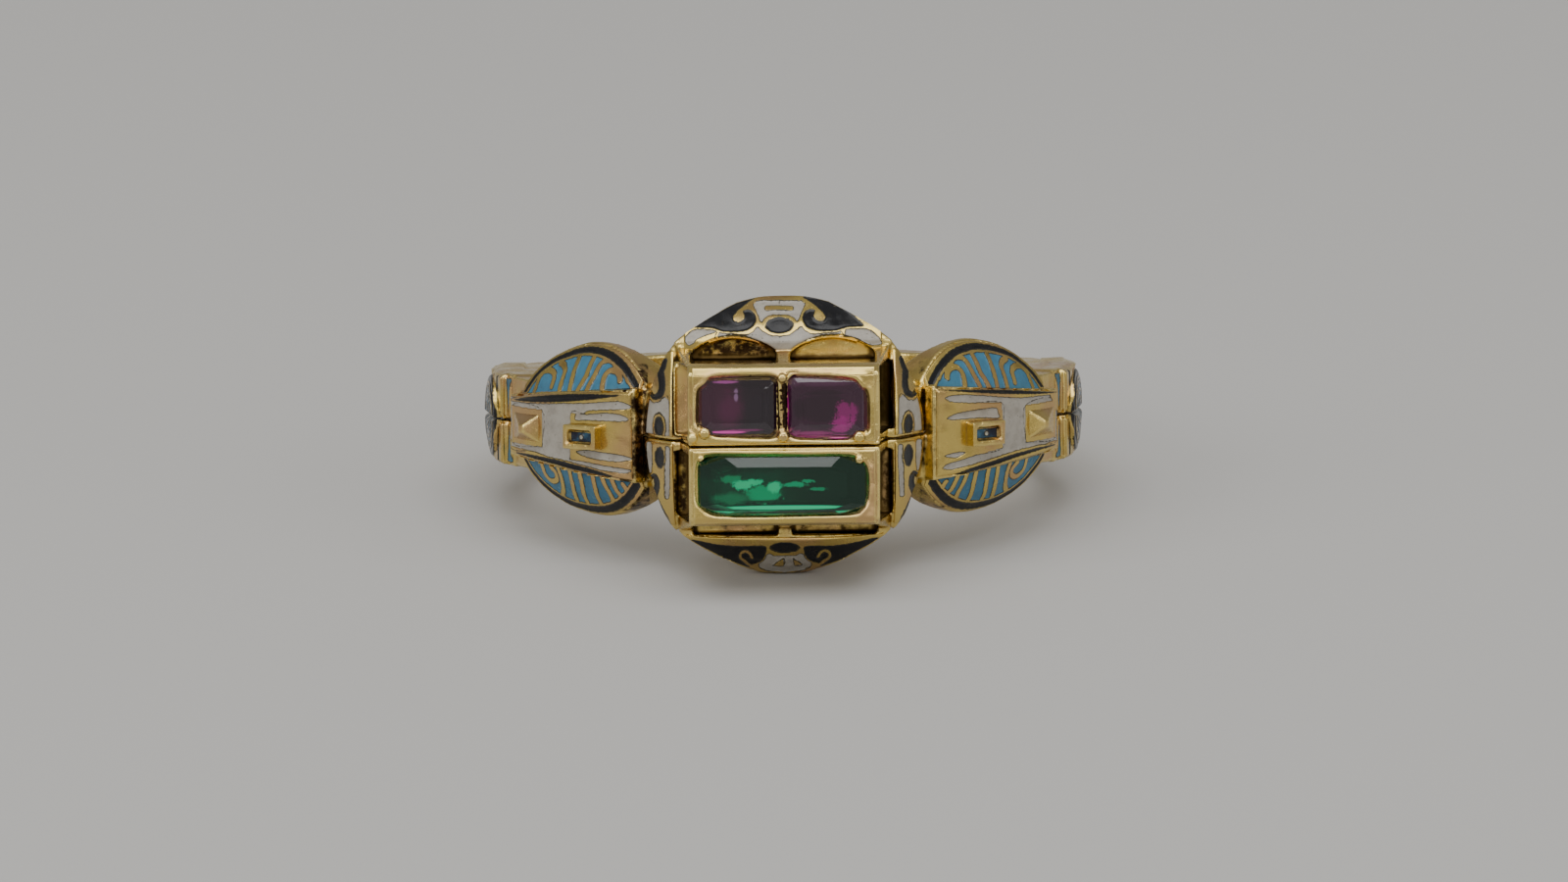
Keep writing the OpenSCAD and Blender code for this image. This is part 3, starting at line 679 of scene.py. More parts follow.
STRAPS = {
    "left": {"side": -1, "field": LEFT_FIELD, "lens": 0.13,
             "fingers": [[(-1.08, 0.72), (-1.5, 0.7), (-2.5, 0.8), (-3.1, 0.77), (-3.42, 0.62), (-3.2, 0.53),
                          (-2.5, 0.51), (-1.7, 0.5), (-1.03, 0.47)],
                         [(-1.05, -0.7), (-1.55, -0.62), (-2.45, -0.67), (-3.3, -0.76), (-3.52, -0.84),
                          (-3.3, -0.92), (-2.9, -0.97), (-2.15, -0.94), (-1.55, -0.87)]],
             "stripe": [(2.65, -1.02, 0.01), (1.5, -1.06, 0.05), (0, -1.17, 0.085), (-1.1, -1.3, 0.09),
                        (-2.1, -1.44, 0.07), (-2.95, -1.6, 0.01)]},
    "right": {"side": 1, "field": RIGHT_FIELD, "lens": 0.06,
              "fingers": [[(-3.08, 0.52), (-2.7, 0.66), (-2.05, 0.73), (-0.9, 0.76), (-0.7, 0.56),
                           (-0.7, 0.38), (-1.6, 0.45), (-2.3, 0.45), (-2.85, 0.45)],
                          [(-3.2, -0.86), (-2.72, -0.77), (-2.3, -0.78), (-2.72, -0.95)]],
              "stripe": [(2.9, -0.93, 0.01), (1.5, -0.99, 0.045), (0, -1.13, 0.07), (-1.1, -1.3, 0.08),
                         (-2.1, -1.47, 0.07), (-2.95, -1.65, 0.01)]}}
# The foot of the strap's raised boss, which the white goes round.
NUB_FRAME = [(0.86, -0.66), (3.02, -0.66), (3.02, 0.72), (0.86, 0.72)]


def strap_skin(side, radius):
    """The strap's round face, or the floor of its loop's trough."""
    def skin(at):
        y = -np.sqrt(radius ** 2 - at[:, 0] ** 2)
        none = np.zeros(len(at))
        return turned(side, at[:, 0], y, at[:, 1]), turned(side, at[:, 0] / radius, y / radius, none)
    return skin


def strap_flat(across_part, along_part):
    """The strap's tapering face."""
    u = STRAP_ENDS[0] + STRAP_BORDER + across_part * (STRAP_ENDS[1] - STRAP_ENDS[0] - 2 * STRAP_BORDER)
    return np.stack([u, (strap_half_width(u) - STRAP_BORDER) * (2 * along_part - 1)], axis=1)


def strap_cells(strap):
    """White field and fingers, black lens and stripe."""
    def draw(at):
        white = np.minimum(cell(at, strap["field"], smooth=False), -cell(at, NUB_FRAME, smooth=False))
        for finger in strap["fingers"]:
            white = np.maximum(white, cell(at, finger))
        middle = strap_half_width(at[:, 0]) - 0.09 - strap["lens"]
        lens = strap["lens"] * (1 - ((at[:, 0] + 0.15) / 3.0) ** 2) - np.abs(at[:, 1] - middle)
        black = np.maximum(lens, stroke(at, strap["stripe"]))
        return {"white": np.minimum(white, -black - 0.06), "black": black}
    return draw


for side_name, strap in STRAPS.items():
    body = "ruby_half" if side_name == "left" else "emerald_half"
    enamel_sheet(f"{side_name}_strap_enamel", 6.9, 3.0, strap_flat, strap_skin(strap["side"], STRAP_R),
                 strap_cells(strap), body, champleve,
                 [f"{side_name}_strap_white", f"{side_name}_strap_black"])

# Bezel's end lobes: a domed gold leaf above the box and one below, cast with it, with black scrolls, a
# black oval, and a white fan, band and corners.
PATTERN_MIDDLE = -0.13
RIM_Y = 11.55
END_DOME_R = 5.08
END_DOME_MIDDLE_Y = 7.43
END_DOME_MIDDLE_Z = 0.6
END_HALF_WIDTH = 3.68
END_TOP_INSET = {1: 0.03, -1: 0.1}
LOWER_EDGE_Z = 3.52
UPPER_WING = [(0.9, 5.02), (1.6, 4.95), (2.1, 4.77), (2.5, 4.54), (2.85, 4.27), (3.05, 4.05), (2.7, 4.02),
              (2.4, 4.0), (2.0, 3.9),
              (1.35, 3.92), (1.0, 4.05), (0.85, 4.3), (0.92, 4.52), (1.1, 4.62), (1.3, 4.58), (1.25, 4.43),
              (1.3, 4.3), (1.45, 4.22), (1.62, 4.25), (1.68, 4.38), (1.58, 4.52), (1.35, 4.72), (1.1, 4.88)]
UPPER_BAND = [(0, 3.74), (0.27, 3.76), (0.48, 3.84), (0.66, 3.97), (0.8, 4.06), (0.94, 3.92), (1.15, 3.81),
              (1.65, 3.83), (2.2, 3.93), (2.3, 3.4), (1.2, 3.1), (0, 3.0)]
UPPER_FAN = [(0, 4.93), (0.8, 4.9), (0.94, 4.8), (0.8, 4.5), (0.66, 4.22), (0.56, 4.32), (0.4, 4.42),
             (0.2, 4.46), (0, 4.47)]
LOWER_WING = [(3.4, 3.66), (2.5, 3.82), (1.7, 3.9), (0.78, 3.9), (0.7, 4.1), (0.8, 4.38), (1.0, 4.55),
              (1.2, 4.62), (1.3, 4.75), (1.0, 4.95), (1.4, 4.93), (1.95, 4.67), (2.53, 4.36), (3.0, 4.0)]
LOWER_CURL = [(1.2, 4.35), (1.3, 4.17), (1.45, 4.1), (1.6, 4.18), (1.62, 4.35), (1.45, 4.52), (1.25, 4.68),
              (0.95, 4.88), (0.6, 4.98)]
LOWER_FAN = [(0, 4.27), (0.4, 4.28), (0.52, 4.2), (0.68, 4.24), (0.92, 4.5), (0.95, 4.74), (0.66, 4.92),
             (0, 5.0)]
CORNERS = {"left": [(-3.56, 3.62), (-3.4, 3.84), (-3.1, 3.97), (-2.7, 4.02), (-2.4, 4.0), (-2.45, 3.88),
                    (-2.75, 3.78), (-3.1, 3.63), (-3.4, 3.44)],
           "right": [(2.3, 3.93), (2.7, 3.96), (3.1, 3.9), (3.4, 3.7), (3.58, 3.45), (3.3, 3.38),
                     (2.88, 3.48), (2.5, 3.57), (2.28, 3.68)]}
SCALLOP_R = 2.42
SCALLOP_MIDDLE = (1.795, 1.31)
SCALLOP_END_SQUARED = 3.42


def end_dome_rise(z):
    """How far the dome stands in front of its arc's middle."""
    return np.sqrt(np.maximum(END_DOME_R ** 2 - (z - END_DOME_MIDDLE_Z) ** 2, 0.01))


def end_lobe_y(x, z):
    """How far forward the end lobes' skin lies."""
    r = np.minimum(END_DOME_MIDDLE_Y + end_dome_rise(z), RIM_Y)
    return np.sqrt(r ** 2 - x ** 2)


def base_spread(y):
    """How much wider the bezel's base is at this depth than at the lobes' rims."""
    return (y - BASE_Y) * math.tan(LEAN)


# Each half's flank is an arc: how far beyond the middle, how far below the parting, and its radius.
FLANKS = {1: (6.97, 10.15, 17.3), -1: (4.48, 6.64, 12.85)}
SETTLING_ROUNDS = 30


def end_lobe_top(x, half):
    """Height of the end lobe's outline, where its skin meets the tapering base."""
    aside, below, radius = FLANKS[half]
    z = np.full(len(x), 4.0)
    for _ in range(SETTLING_ROUNDS):
        spread = base_spread(end_lobe_y(x, z))
        round_base = np.sqrt((BASE_R + spread) ** 2 - x ** 2)
        flank = np.sqrt((radius + spread) ** 2 - (np.abs(x) + aside) ** 2) - below
        z = (z + np.minimum(round_base, flank)) / 2
    return z


def end_lobe_foot(half):
    """Height of the lower edge: the scallops above the box, a straight edge below it."""
    def foot(x):
        from_middle = np.abs(x) - SCALLOP_MIDDLE[0]
        if half > 0:
            rise = np.sqrt(np.maximum(SCALLOP_R ** 2 - from_middle ** 2, SCALLOP_END_SQUARED))
            low = SCALLOP_MIDDLE[1] + rise
        else:
            low = np.full(len(x), LOWER_EDGE_Z)
        return np.maximum(low + 0.02, np.abs(x) - 0.42)
    return foot


def end_skin(half):
    """The end lobes' domed skin."""
    def skin(at):
        x, z = at[:, 0], at[:, 1]
        y = end_lobe_y(x, z)
        r = np.hypot(x, y)
        slope = np.where(r < RIM_Y - 1e-6, (z - END_DOME_MIDDLE_Z) / end_dome_rise(z), 0)
        out = np.stack([x / r, -y / r, half * slope], axis=1)
        return np.stack([x, -y, half * z], axis=1), out / np.linalg.norm(out, axis=1)[:, None]
    return skin


def end_flat(half):
    """The leaf between its lower edge and its outline, its rows closer together near the outline."""
    foot = end_lobe_foot(half)

    def flat(across_part, along_part):
        x = END_HALF_WIDTH * (2 * across_part - 1)
        top = end_lobe_top(x, half) - END_TOP_INSET[half]
        low = np.minimum(foot(x), top - 0.05)
        return np.stack([x, low + (top - low) * (1 - (1 - along_part) ** 1.5)], axis=1)
    return flat


def upper_end_cells(at):
    """The upper lobe's pattern, alike on both sides of its middle."""
    half_at = np.stack([np.abs(at[:, 0] - PATTERN_MIDDLE), at[:, 1]], axis=1)
    above_edge = at[:, 1] - end_lobe_foot(1)(at[:, 0]) - 0.05
    black = np.maximum(cell(half_at, UPPER_WING), oval(half_at, (0, 4.1), 0.5, 0.26))
    white = np.maximum(cell(half_at, UPPER_BAND, smooth=False), cell(half_at, UPPER_FAN, smooth=False))
    white = np.minimum(white, -stroke(half_at, [(0, 4.69), (0.45, 4.67)], 0.075))
    white = np.maximum(white, np.maximum(cell(at, CORNERS["left"]), cell(at, CORNERS["right"])))
    white = np.minimum(white, np.minimum(above_edge, -black - 0.06))
    return {"black": black, "white": white}


def lower_end_cells(at):
    """The lower lobe's pattern."""
    half_at = np.stack([np.abs(at[:, 0]), at[:, 1]], axis=1)
    black = np.minimum(cell(half_at, LOWER_WING), -stroke(half_at, LOWER_CURL, 0.06))
    black = np.maximum(black, oval(half_at, (0, 3.95), 0.53, 0.2))
    white = cell(half_at, LOWER_FAN, smooth=False)
    for triangle in ([(-0.45, 4.68), (-0.06, 4.4), (-0.07, 4.71)], [(0.3, 4.42), (0.36, 4.7), (0.62, 4.68)]):
        white = np.minimum(white, -cell(at, triangle, smooth=False) - 0.01)
    return {"black": black, "white": np.minimum(white, -black - 0.06)}


enamel_sheet("upper_end_enamel", 7.6, 2.6, end_flat(1), end_skin(1), upper_end_cells, "ruby_half",
             champleve, ["upper_bezel_white", "upper_bezel_black"])
enamel_sheet("lower_end_enamel", 7.6, 2.6, end_flat(-1), end_skin(-1), lower_end_cells, "emerald_half",
             champleve, ["lower_bezel_white", "lower_bezel_black"])

# Bezel's side lobes: a narrow domed gold leaf on each side of the box, cast with it, with a black hook,
# a white field and a black drop above the parting, and a black sickle with white bands below it.
SIDE_LOBE_AXIS_Y = 5.6
SIDE_DOME_R = 7.21
SIDE_DOME_SHIFT = 1.57
SIDE_DOME_LIFT = 1.47
SIDE_LOBE_INSET = 0.03
SIDE_LOBE_FOOT = 0.06
SIDE_LOBE_HEIGHT = 3.22
SLOT_SIDE_X = 3.98
UPPER_HOOK = [(4.25, 2.85, 0.06), (4.45, 2.5, 0.14), (4.75, 2.5, 0.12), (5.0, 2.15, 0.13),
              (5.12, 1.7, 0.13), (5.1, 1.2, 0.05)]
UPPER_HOOK_END = [(4.45, 2.5, 0.13), (4.38, 1.95, 0.11), (4.48, 1.6, 0.1), (4.72, 1.5, 0.08),
                  (4.85, 1.75, 0.06)]
UPPER_FIELD = [(4.13, 0.08), (4.16, 1.45), (4.32, 1.55), (4.5, 1.35), (4.75, 1.3), (4.95, 1.5), (5.05, 1.2),
               (5.05, 0.1)]
LOWER_SICKLE = [(5.15, 0.25, 0.05), (5.18, 0.95, 0.11), (5.05, 1.6, 0.15), (4.75, 2.2, 0.15),
                (4.42, 2.8, 0.13), (4.15, 3.3, 0.07)]
LOWER_HOOK = [(4.75, 2.2, 0.12), (4.6, 1.75, 0.1), (4.68, 1.4, 0.09), (4.85, 1.5, 0.06)]


def side_lobe_r(x):
    """Radius of the side lobe's round skin at this distance from the middle, and its circle's reach."""
    reach = np.sqrt(np.maximum(SIDE_DOME_R ** 2 - (np.abs(x) + SIDE_DOME_SHIFT) ** 2, 0.01))
    return np.minimum(SIDE_DOME_LIFT + reach, RIM_Y - SIDE_LOBE_AXIS_Y), reach


def side_skin(side, half):
    """The side lobe's domed skin."""
    def skin(at):
        x, z = at[:, 0], at[:, 1]
        radius, reach = side_lobe_r(x)
        forward = np.sqrt(np.maximum(radius ** 2 - z ** 2, 0.01))
        turning = radius < RIM_Y - SIDE_LOBE_AXIS_Y - 1e-6
        sideways = np.where(turning, (x + SIDE_DOME_SHIFT) / reach, 0.0)
        out = np.stack([side * sideways, -forward / radius, half * z / radius], axis=1)
        place = np.stack([side * x, -SIDE_LOBE_AXIS_Y - forward, half * z], axis=1)
        return place, out / np.linalg.norm(out, axis=1)[:, None]
    return skin


def side_lobe_flat(across_part, along_part):
    """The leaf between the side slot, the end lobe and the tapering base."""
    z = SIDE_LOBE_FOOT + along_part * SIDE_LOBE_HEIGHT
    near = np.maximum(SLOT_SIDE_X, z + 0.52)
    edge = np.full(len(z), 5.0)
    for _ in range(SETTLING_ROUNDS):
        y = SIDE_LOBE_AXIS_Y + np.sqrt(np.maximum(side_lobe_r(edge)[0] ** 2 - z ** 2, 0.01))
        edge = (edge + np.sqrt(np.maximum((BASE_R + base_spread(y)) ** 2 - z ** 2, 0.01))) / 2
    far = np.maximum(edge - SIDE_LOBE_INSET, near + SIDE_LOBE_INSET)
    return np.stack([near + (far - near) * across_part, z], axis=1)


def upper_side_cells(at):
    """Hook and drop in black, on a white field."""
    black = np.maximum(stroke(at, UPPER_HOOK), stroke(at, UPPER_HOOK_END))
    drop = oval(at, (4.5, 0.44), 0.17, 0.36)
    white = np.minimum(cell(at, UPPER_FIELD, smooth=False), -drop - 0.07)
    return {"black": np.maximum(black, drop), "white": np.minimum(white, -black - 0.05)}


def lower_side_cells(at):
    """Sickle and oval in black, between two white bands."""
    black = np.maximum(stroke(at, LOWER_SICKLE), stroke(at, LOWER_HOOK))
    black = np.maximum(black, oval(at, (4.5, 0.68), 0.17, 0.38))
    white = np.maximum(stroke(at, [(4.2, 0.3, 0.08), (4.22, 1.1, 0.1), (4.24, 2.1, 0.08)]),
                       stroke(at, [(4.88, 0.25, 0.1), (4.88, 0.8, 0.11), (4.86, 1.25, 0.06)]))
    return {"black": black, "white": np.minimum(white, -black - 0.05)}


for side, side_name in ((-1, "left"), (1, "right")):
    enamel_sheet(f"upper_{side_name}_side_enamel", 1.4, 3.3, side_lobe_flat, side_skin(side, 1),
                 upper_side_cells, "ruby_half", champleve,
                 ["upper_bezel_white", "upper_bezel_black"])
    enamel_sheet(f"lower_{side_name}_side_enamel", 1.4, 3.3, side_lobe_flat, side_skin(side, -1),
                 lower_side_cells, "emerald_half", champleve,
                 ["lower_bezel_white", "lower_bezel_black"])

# Collars and medallions: the hoops' sides carry a blue wedge and a black band in the gold, and behind
# them a domed round plate of grey enamel, dashed with white inside a black ring, parted with the hoops.
COLLAR_ANGLE = 70.4
COLLAR_RUN = 1.75
COLLAR_FOOT = 0.07
COLLAR_HEIGHT = 1.6
COLLAR_R = 10.73
COLLAR_STEP = 0.23
COLLAR_TURNING_R = 10.9
MEDALLION_ANGLE = 83.4
MEDALLION_R = 1.58
MEDALLION_ARC_R = 9.0
MEDALLION_TOP = 11.17
MEDALLION_DEPTH = 0.32
DASH_RINGS = ((0.45, 6, 0.16), (0.78, 9, 0.2), (1.06, 12, 0.17))
grey_champleve = fired_enamel("grey_enamel_on_gold", white="#bdb8ae", blue="#77777b")


def collar_skin(side, half):
    """The collar's face, which steps up behind its front edge."""
    def skin(at):
        angle = math.radians(COLLAR_ANGLE) + at[:, 0] / COLLAR_TURNING_R
        radius = COLLAR_R + COLLAR_STEP * step(at[:, 0], 0.48, 0.6)
        out = np.stack([side * np.sin(angle), -np.cos(angle), np.zeros(len(at))], axis=1)
        place = out * radius[:, None]
        place[:, 2] = half * at[:, 1]
        return place, out
    return skin


def collar_flat(across_part, along_part):
    """The collar's side, which runs back from its front edge."""
    return np.stack([across_part * COLLAR_RUN, COLLAR_FOOT + along_part * COLLAR_HEIGHT], axis=1)


def collar_cells(at):
    """A blue wedge in front of a black band."""
    wedge = cell(at, [(0.05, 1.55), (0.46, 1.55), (0.4, 0.9), (0.3, 0.2), (0.2, 0.9)], smooth=False)
    band = stroke(at, [(1.1, 0.12, 0.17), (1.12, 0.9, 0.17), (1.05, 1.5, 0.12)])
    return {"blue": wedge, "black": band}


def medallion_skin(side, half):
    """The medallion's dome, seen from the side of the finger."""
    angle = math.radians(MEDALLION_ANGLE)
    away = np.array([side * math.sin(angle), -math.cos(angle), 0.0])
    along = np.array([side * math.cos(angle), math.sin(angle), 0.0])

    def skin(at):
        rise = np.sqrt(MEDALLION_ARC_R ** 2 - at[:, 0] ** 2 - at[:, 1] ** 2)
        out = away * rise[:, None] + along * at[:, :1]
        out[:, 2] = half * at[:, 1]
        return out + away * (MEDALLION_TOP - MEDALLION_ARC_R), out / MEDALLION_ARC_R
    return skin


def medallion_flat(across_part, along_part):
    """Half of the round plate."""
    u = (across_part * 2 - 1) * (MEDALLION_R - 0.03)
    top = np.sqrt(MEDALLION_R ** 2 - u ** 2)
    return np.stack([u, 0.05 + (np.maximum(top, 0.1) - 0.05) * along_part], axis=1)


def medallion_cells(at):
    """A black ring round a grey field, which the material has in its blue cells, with white dashes."""
    reach = np.hypot(at[:, 0], at[:, 1])
    ring = 0.13 - np.abs(reach - 1.4)
    white = oval(at, (0, 0), 0.16, 0.16)
    for turn_r, dashes, length in DASH_RINGS:
        for k in range(dashes):
            way = (k + 0.5) / dashes * math.pi
            middle = np.array([math.cos(way), math.sin(way)]) * turn_r
            half_dash = np.array([-math.sin(way), math.cos(way)]) * length / 2
            white = np.maximum(white, stroke(at, [middle - half_dash, middle + half_dash], 0.05))
    return {"black": ring, "white": white, "blue": np.minimum(1.2 - reach, -white - 0.03)}


for side, side_name in ((-1, "left"), (1, "right")):
    for half, half_name, body in ((1, "upper", "ruby_half"), (-1, "lower", "emerald_half")):
        enamel_sheet(f"{half_name}_{side_name}_collar_enamel", COLLAR_RUN, COLLAR_HEIGHT, collar_flat,
                     collar_skin(side, half), collar_cells, body, champleve, [])
        enamel_sheet(f"{half_name}_{side_name}_medallion_enamel", 3.1, 1.6, medallion_flat,
                     medallion_skin(side, half), medallion_cells, body, grey_champleve,
                     [f"{half_name}_medallions"], MEDALLION_DEPTH)

# Loop inlays: each strap's raised gold loop holds a strip of dark blue enamel with one white dot and a
# black line along its foot.
LOOP_R = STRAP_R + 0.26
LOOP_LENGTH, LOOP_HEIGHT = 1.24, 0.56
LOOP_CORNER = (-2.16, -0.4)
night_champleve = fired_enamel("night_blue_enamel_on_gold", blue="#0d0f22", white="#b9b49c")


def loop_flat(across_part, along_part):
    """The strip on the loop's floor."""
    return np.stack([LOOP_CORNER[0] + across_part * LOOP_LENGTH,
                     LOOP_CORNER[1] + along_part * LOOP_HEIGHT], axis=1)


def loop_cells(at):
    """A white dot in dark blue, above a black line."""
    dot = oval(at, (-1.56, -0.12), 0.09, 0.09)
    return {"white": dot, "blue": -dot - 0.01, "black": stroke(at, [(-2.1, -0.34), (-1.0, -0.34)], 0.05)}


for side, side_name, body in ((-1, "left", "ruby_half"), (1, "right", "emerald_half")):
    enamel_sheet(f"{side_name}_loop_enamel", LOOP_LENGTH, LOOP_HEIGHT, loop_flat, strap_skin(side, LOOP_R),
                 loop_cells, body, night_champleve, [])

# Gem frames: the gold of the bezel's face, rubbed down over the stones' edges by hand. Small beads are
# left standing at the rubies' corners, and the web between the rubies is pitted and black.
FACE_Y = 14.0
FACE_HALF_WIDTH = 3.4
FACE_LIFT = 0.055
EDGE_SINK = 0.15
EDGE_ROUND = 0.14
FACE_BACK = 0.34
BEND_FROM = 2.58
BEND_SLOPE = 0.5
CHAMFER_FROM = 2.88
CHAMFER_SLOPE = 2.4
RUBY_OPENINGS = [
    [(-3.02, 2.03), (-2.82, 2.15), (-2.68, 2.3), (-2.58, 2.47), (-1.97, 2.54), (-1.06, 2.55), (-0.32, 2.48),
     (-0.25, 1.95), (-0.26, 1.2), (-0.28, 0.5), (-0.5, 0.37), (-1.08, 0.38), (-1.88, 0.43), (-2.5, 0.48),
     (-2.64, 0.68), (-2.88, 0.78), (-3.06, 0.86), (-3.06, 1.5)],
    [(0.2, 2.5), (0.6, 2.53), (1.15, 2.5), (2.0, 2.43), (2.5, 2.34), (2.66, 2.18), (2.8, 2.04), (2.96, 1.95),
     (3.02, 1.46), (3.0, 0.65), (2.88, 0.55), (2.7, 0.56), (2.5, 0.42), (2.38, 0.25), (1.7, 0.22),
     (0.85, 0.31), (0.36, 0.38), (0.17, 0.6), (0.14, 1.37)]]
EMERALD_OPENING = [
    (-3.08, -0.7), (-2.9, -0.42), (-2.4, -0.34), (-1.3, -0.37), (-0.29, -0.38), (0.9, -0.41), (1.98, -0.4),
    (2.46, -0.44), (2.6, -0.6), (2.84, -0.7), (2.96, -1.0), (2.96, -1.68), (2.88, -2.08), (2.72, -2.3),
    (2.4, -2.42), (0.82, -2.46), (-1.11, -2.49), (-2.13, -2.46), (-2.62, -2.38), (-2.95, -2.17),
    (-3.1, -1.95), (-3.14, -1.34)]
# Each bead's place and radius.
FACE_BEADS = ((-2.87, 0.52, 0.21), (2.72, 0.33, 0.21), (-0.04, 2.5, 0.17), (-0.02, 0.36, 0.2))
EMERALD_BEADS = ((2.72, -0.5, 0.16), (-3.0, -0.42, 0.12))


def plate_mesh(name, low, high, inside):
    """A fine flat plate with its openings cut out along their outlines, closed at the back."""
    block = bmesh.new()
    width, height = 2 * FACE_HALF_WIDTH, high - low
    bmesh.ops.create_grid(block, x_segments=round(width / GRID_STEP), y_segments=round(height / GRID_STEP),
                          size=0.5)
    bmesh.ops.scale(block, vec=(width, height, 1), verts=block.verts)
    bmesh.ops.translate(block, vec=(0, (low + high) / 2, 0), verts=block.verts)
    block.verts.ensure_lookup_table()
    flat = np.array([v.co[:2] for v in block.verts])
    depth_in = inside(flat)
    cut = [f for f in block.faces if max(depth_in[v.index] for v in f.verts) > 0
           and min(depth_in[v.index] for v in f.verts) > -0.4 * GRID_STEP]
    bmesh.ops.delete(block, geom=cut, context="FACES")
    loose = [v for v in block.verts if not v.link_faces]
    bmesh.ops.delete(block, geom=loose, context="VERTS")
    rim = [v for v in block.verts if v.is_boundary
           and abs(v.co.x) < FACE_HALF_WIDTH - 0.05
           and low + 0.05 < v.co.y < high - 0.05]
    nudge = 0.004
    for _ in range(4):
        at = np.array([v.co[:2] for v in rim])
        here = inside(at)
        slope = np.stack([inside(at + (nudge, 0)) - here, inside(at + (0, nudge)) - here], axis=1) / nudge
        slope /= np.maximum(np.linalg.norm(slope, axis=1), 0.3)[:, None]
        for v, (dx, dz) in zip(rim, -slope * here[:, None] * 0.8):
            v.co.x += dx
            v.co.y += dz
    edges = [e for e in block.edges if e.is_boundary]
    sunk = bmesh.ops.extrude_edge_only(block, edges=edges)["geom"]
    bmesh.ops.translate(block, vec=(0, 0, -1), verts=[g for g in sunk if isinstance(g, bmesh.types.BMVert)])
    back_rim = [g for g in sunk if isinstance(g, bmesh.types.BMEdge)]
    bmesh.ops.triangle_fill(block, use_beauty=True, edges=back_rim)
    bmesh.ops.recalc_face_normals(block, faces=block.faces)
    return mesh_of(block, name)


def gem_frame(name, body, low, high, openings, beads):
    """One half's face plate, rubbed down at its openings, with its beads and the pitted web."""
    def inside(at):
        return np.maximum.reduce([cell(at, outline) for outline in openings])

    mesh = plate_mesh(name, low, high, inside)
    points, _ = points_of(mesh)
    at = points[:, :2]
    x, z = at[:, 0], at[:, 1]
    to_opening = -inside(at)
    to_edge = np.minimum(FACE_HALF_WIDTH - np.abs(x), np.minimum(z - low, high - z))
    forward = FACE_Y - CHAMFER_SLOPE * np.maximum(np.abs(z) - CHAMFER_FROM, 0)
    forward -= BEND_SLOPE * np.maximum(np.abs(z) - BEND_FROM, 0)
    place = np.stack([x, -forward, z], axis=1)
    lift = FACE_LIFT - EDGE_SINK * (1 - step(to_edge, 0.0, EDGE_ROUND))
    lift -= EDGE_SINK * (1 - step(to_opening, -0.02, 0.2)) ** 1.5
    lift += 0.012 * np.exp(-((to_opening - 0.17) / 0.08) ** 2)
    lift += 0.008 * wobble(place, 16, 0.7, 31) + 0.002 * wobble(place, 18, 0.2, 32)
    web = step(x, -0.26, -0.2) * (1 - step(x, 0.1, 0.16)) * step(z, 0.5, 0.75) * (1 - step(z, 2.15, 2.4))
    lift += web * (-0.09 + 0.05 * wobble(place, 20, 0.16, 33))
    for bead_x, bead_z, bead_r in beads:
        away = np.hypot(x - bead_x, z - bead_z)
        lift = np.maximum(lift, 0.04 + np.sqrt(np.maximum(bead_r ** 2 - away ** 2, 0)) * 0.75
                          - np.where(away < bead_r, 0.0, 9.0))
    back = points[:, 2] < -0.5
    place[:, 1] -= np.where(back, -FACE_BACK, lift)
    mesh.vertices.foreach_set("co", hand_worked(place, np.tile((0.0, -1.0, 0.0), (len(x), 1))).ravel())
    mesh.update()
    by_parting = step(z, 0.0, 0.02) * (1 - step(z, 0.1, 0.3))
    paint(mesh, "tarnish_and_shade", 0.95 * web + 0.3 * (1 - step(to_opening, 0.0, 0.05)) + 0.25 * by_parting)
    add_wear(mesh)
    return finish_piece(mesh, name, body, [hoop_gold])


gem_frame("upper_gem_frame", "ruby_half", 0.045, 2.97, RUBY_OPENINGS, FACE_BEADS)
gem_frame("lower_gem_frame", "emerald_half", -2.9, -0.045, [EMERALD_OPENING], EMERALD_BEADS)


# Stones: two rubies and one wide emerald, step cut by hand and held by the frames' rubbed edges. Each is
# a clear block, and its back facets glow: painted light, emitted in patches and a bright stripe, stands in
# for the coloured light that the real stone sends back.
BACK_FACET_TURN = -0.05


def step_cut(name, rows, corner, replaced, body, materials):
    """A stone with an eight-sided step for each row, from its table back to its foot."""
    stone = bmesh.new()
    bmesh.ops.create_grid(stone, x_segments=1, y_segments=1, size=1.0)
    bmesh.ops.bevel(stone, geom=stone.verts[:], offset=corner, affect="VERTICES", segments=1, profile=0.5,
                    material=-1)
    base = {v: v.co.copy() for v in stone.verts}

    def to_row(verts, row):
        depth, middle_x, middle_z, half_x, half_z = row
        for v, unit in verts.items():
            v.co = Vector((middle_x + unit.x * half_x, -depth, middle_z + unit.y * half_z))

    to_row(base, rows[0])
    girth = stone.edges[:]
    current = base
    for row in rows[1:]:
        grown = bmesh.ops.extrude_edge_only(stone, edges=girth)["geom"]
        new_verts = [g for g in grown if isinstance(g, bmesh.types.BMVert)]
        girth = [g for g in grown if isinstance(g, bmesh.types.BMEdge)]
        following = {}
        for v in new_verts:
            source = min(current, key=lambda c: (c.co - v.co).length)
            following[v] = current[source]
        to_row(following, row)
        current = following
    bmesh.ops.contextual_create(stone, geom=girth)
    bmesh.ops.recalc_face_normals(stone, faces=stone.faces)
    for f in stone.faces:
        f.material_index = 1 if f.normal.y > BACK_FACET_TURN else 0
    mesh = mesh_of(stone, name)
    points, _ = points_of(mesh)
    paint(mesh, "across", points[:, 0])
    paint(mesh, "up", points[:, 2])
    return finish_piece(mesh, name, body, materials, [replaced], faceted=True)


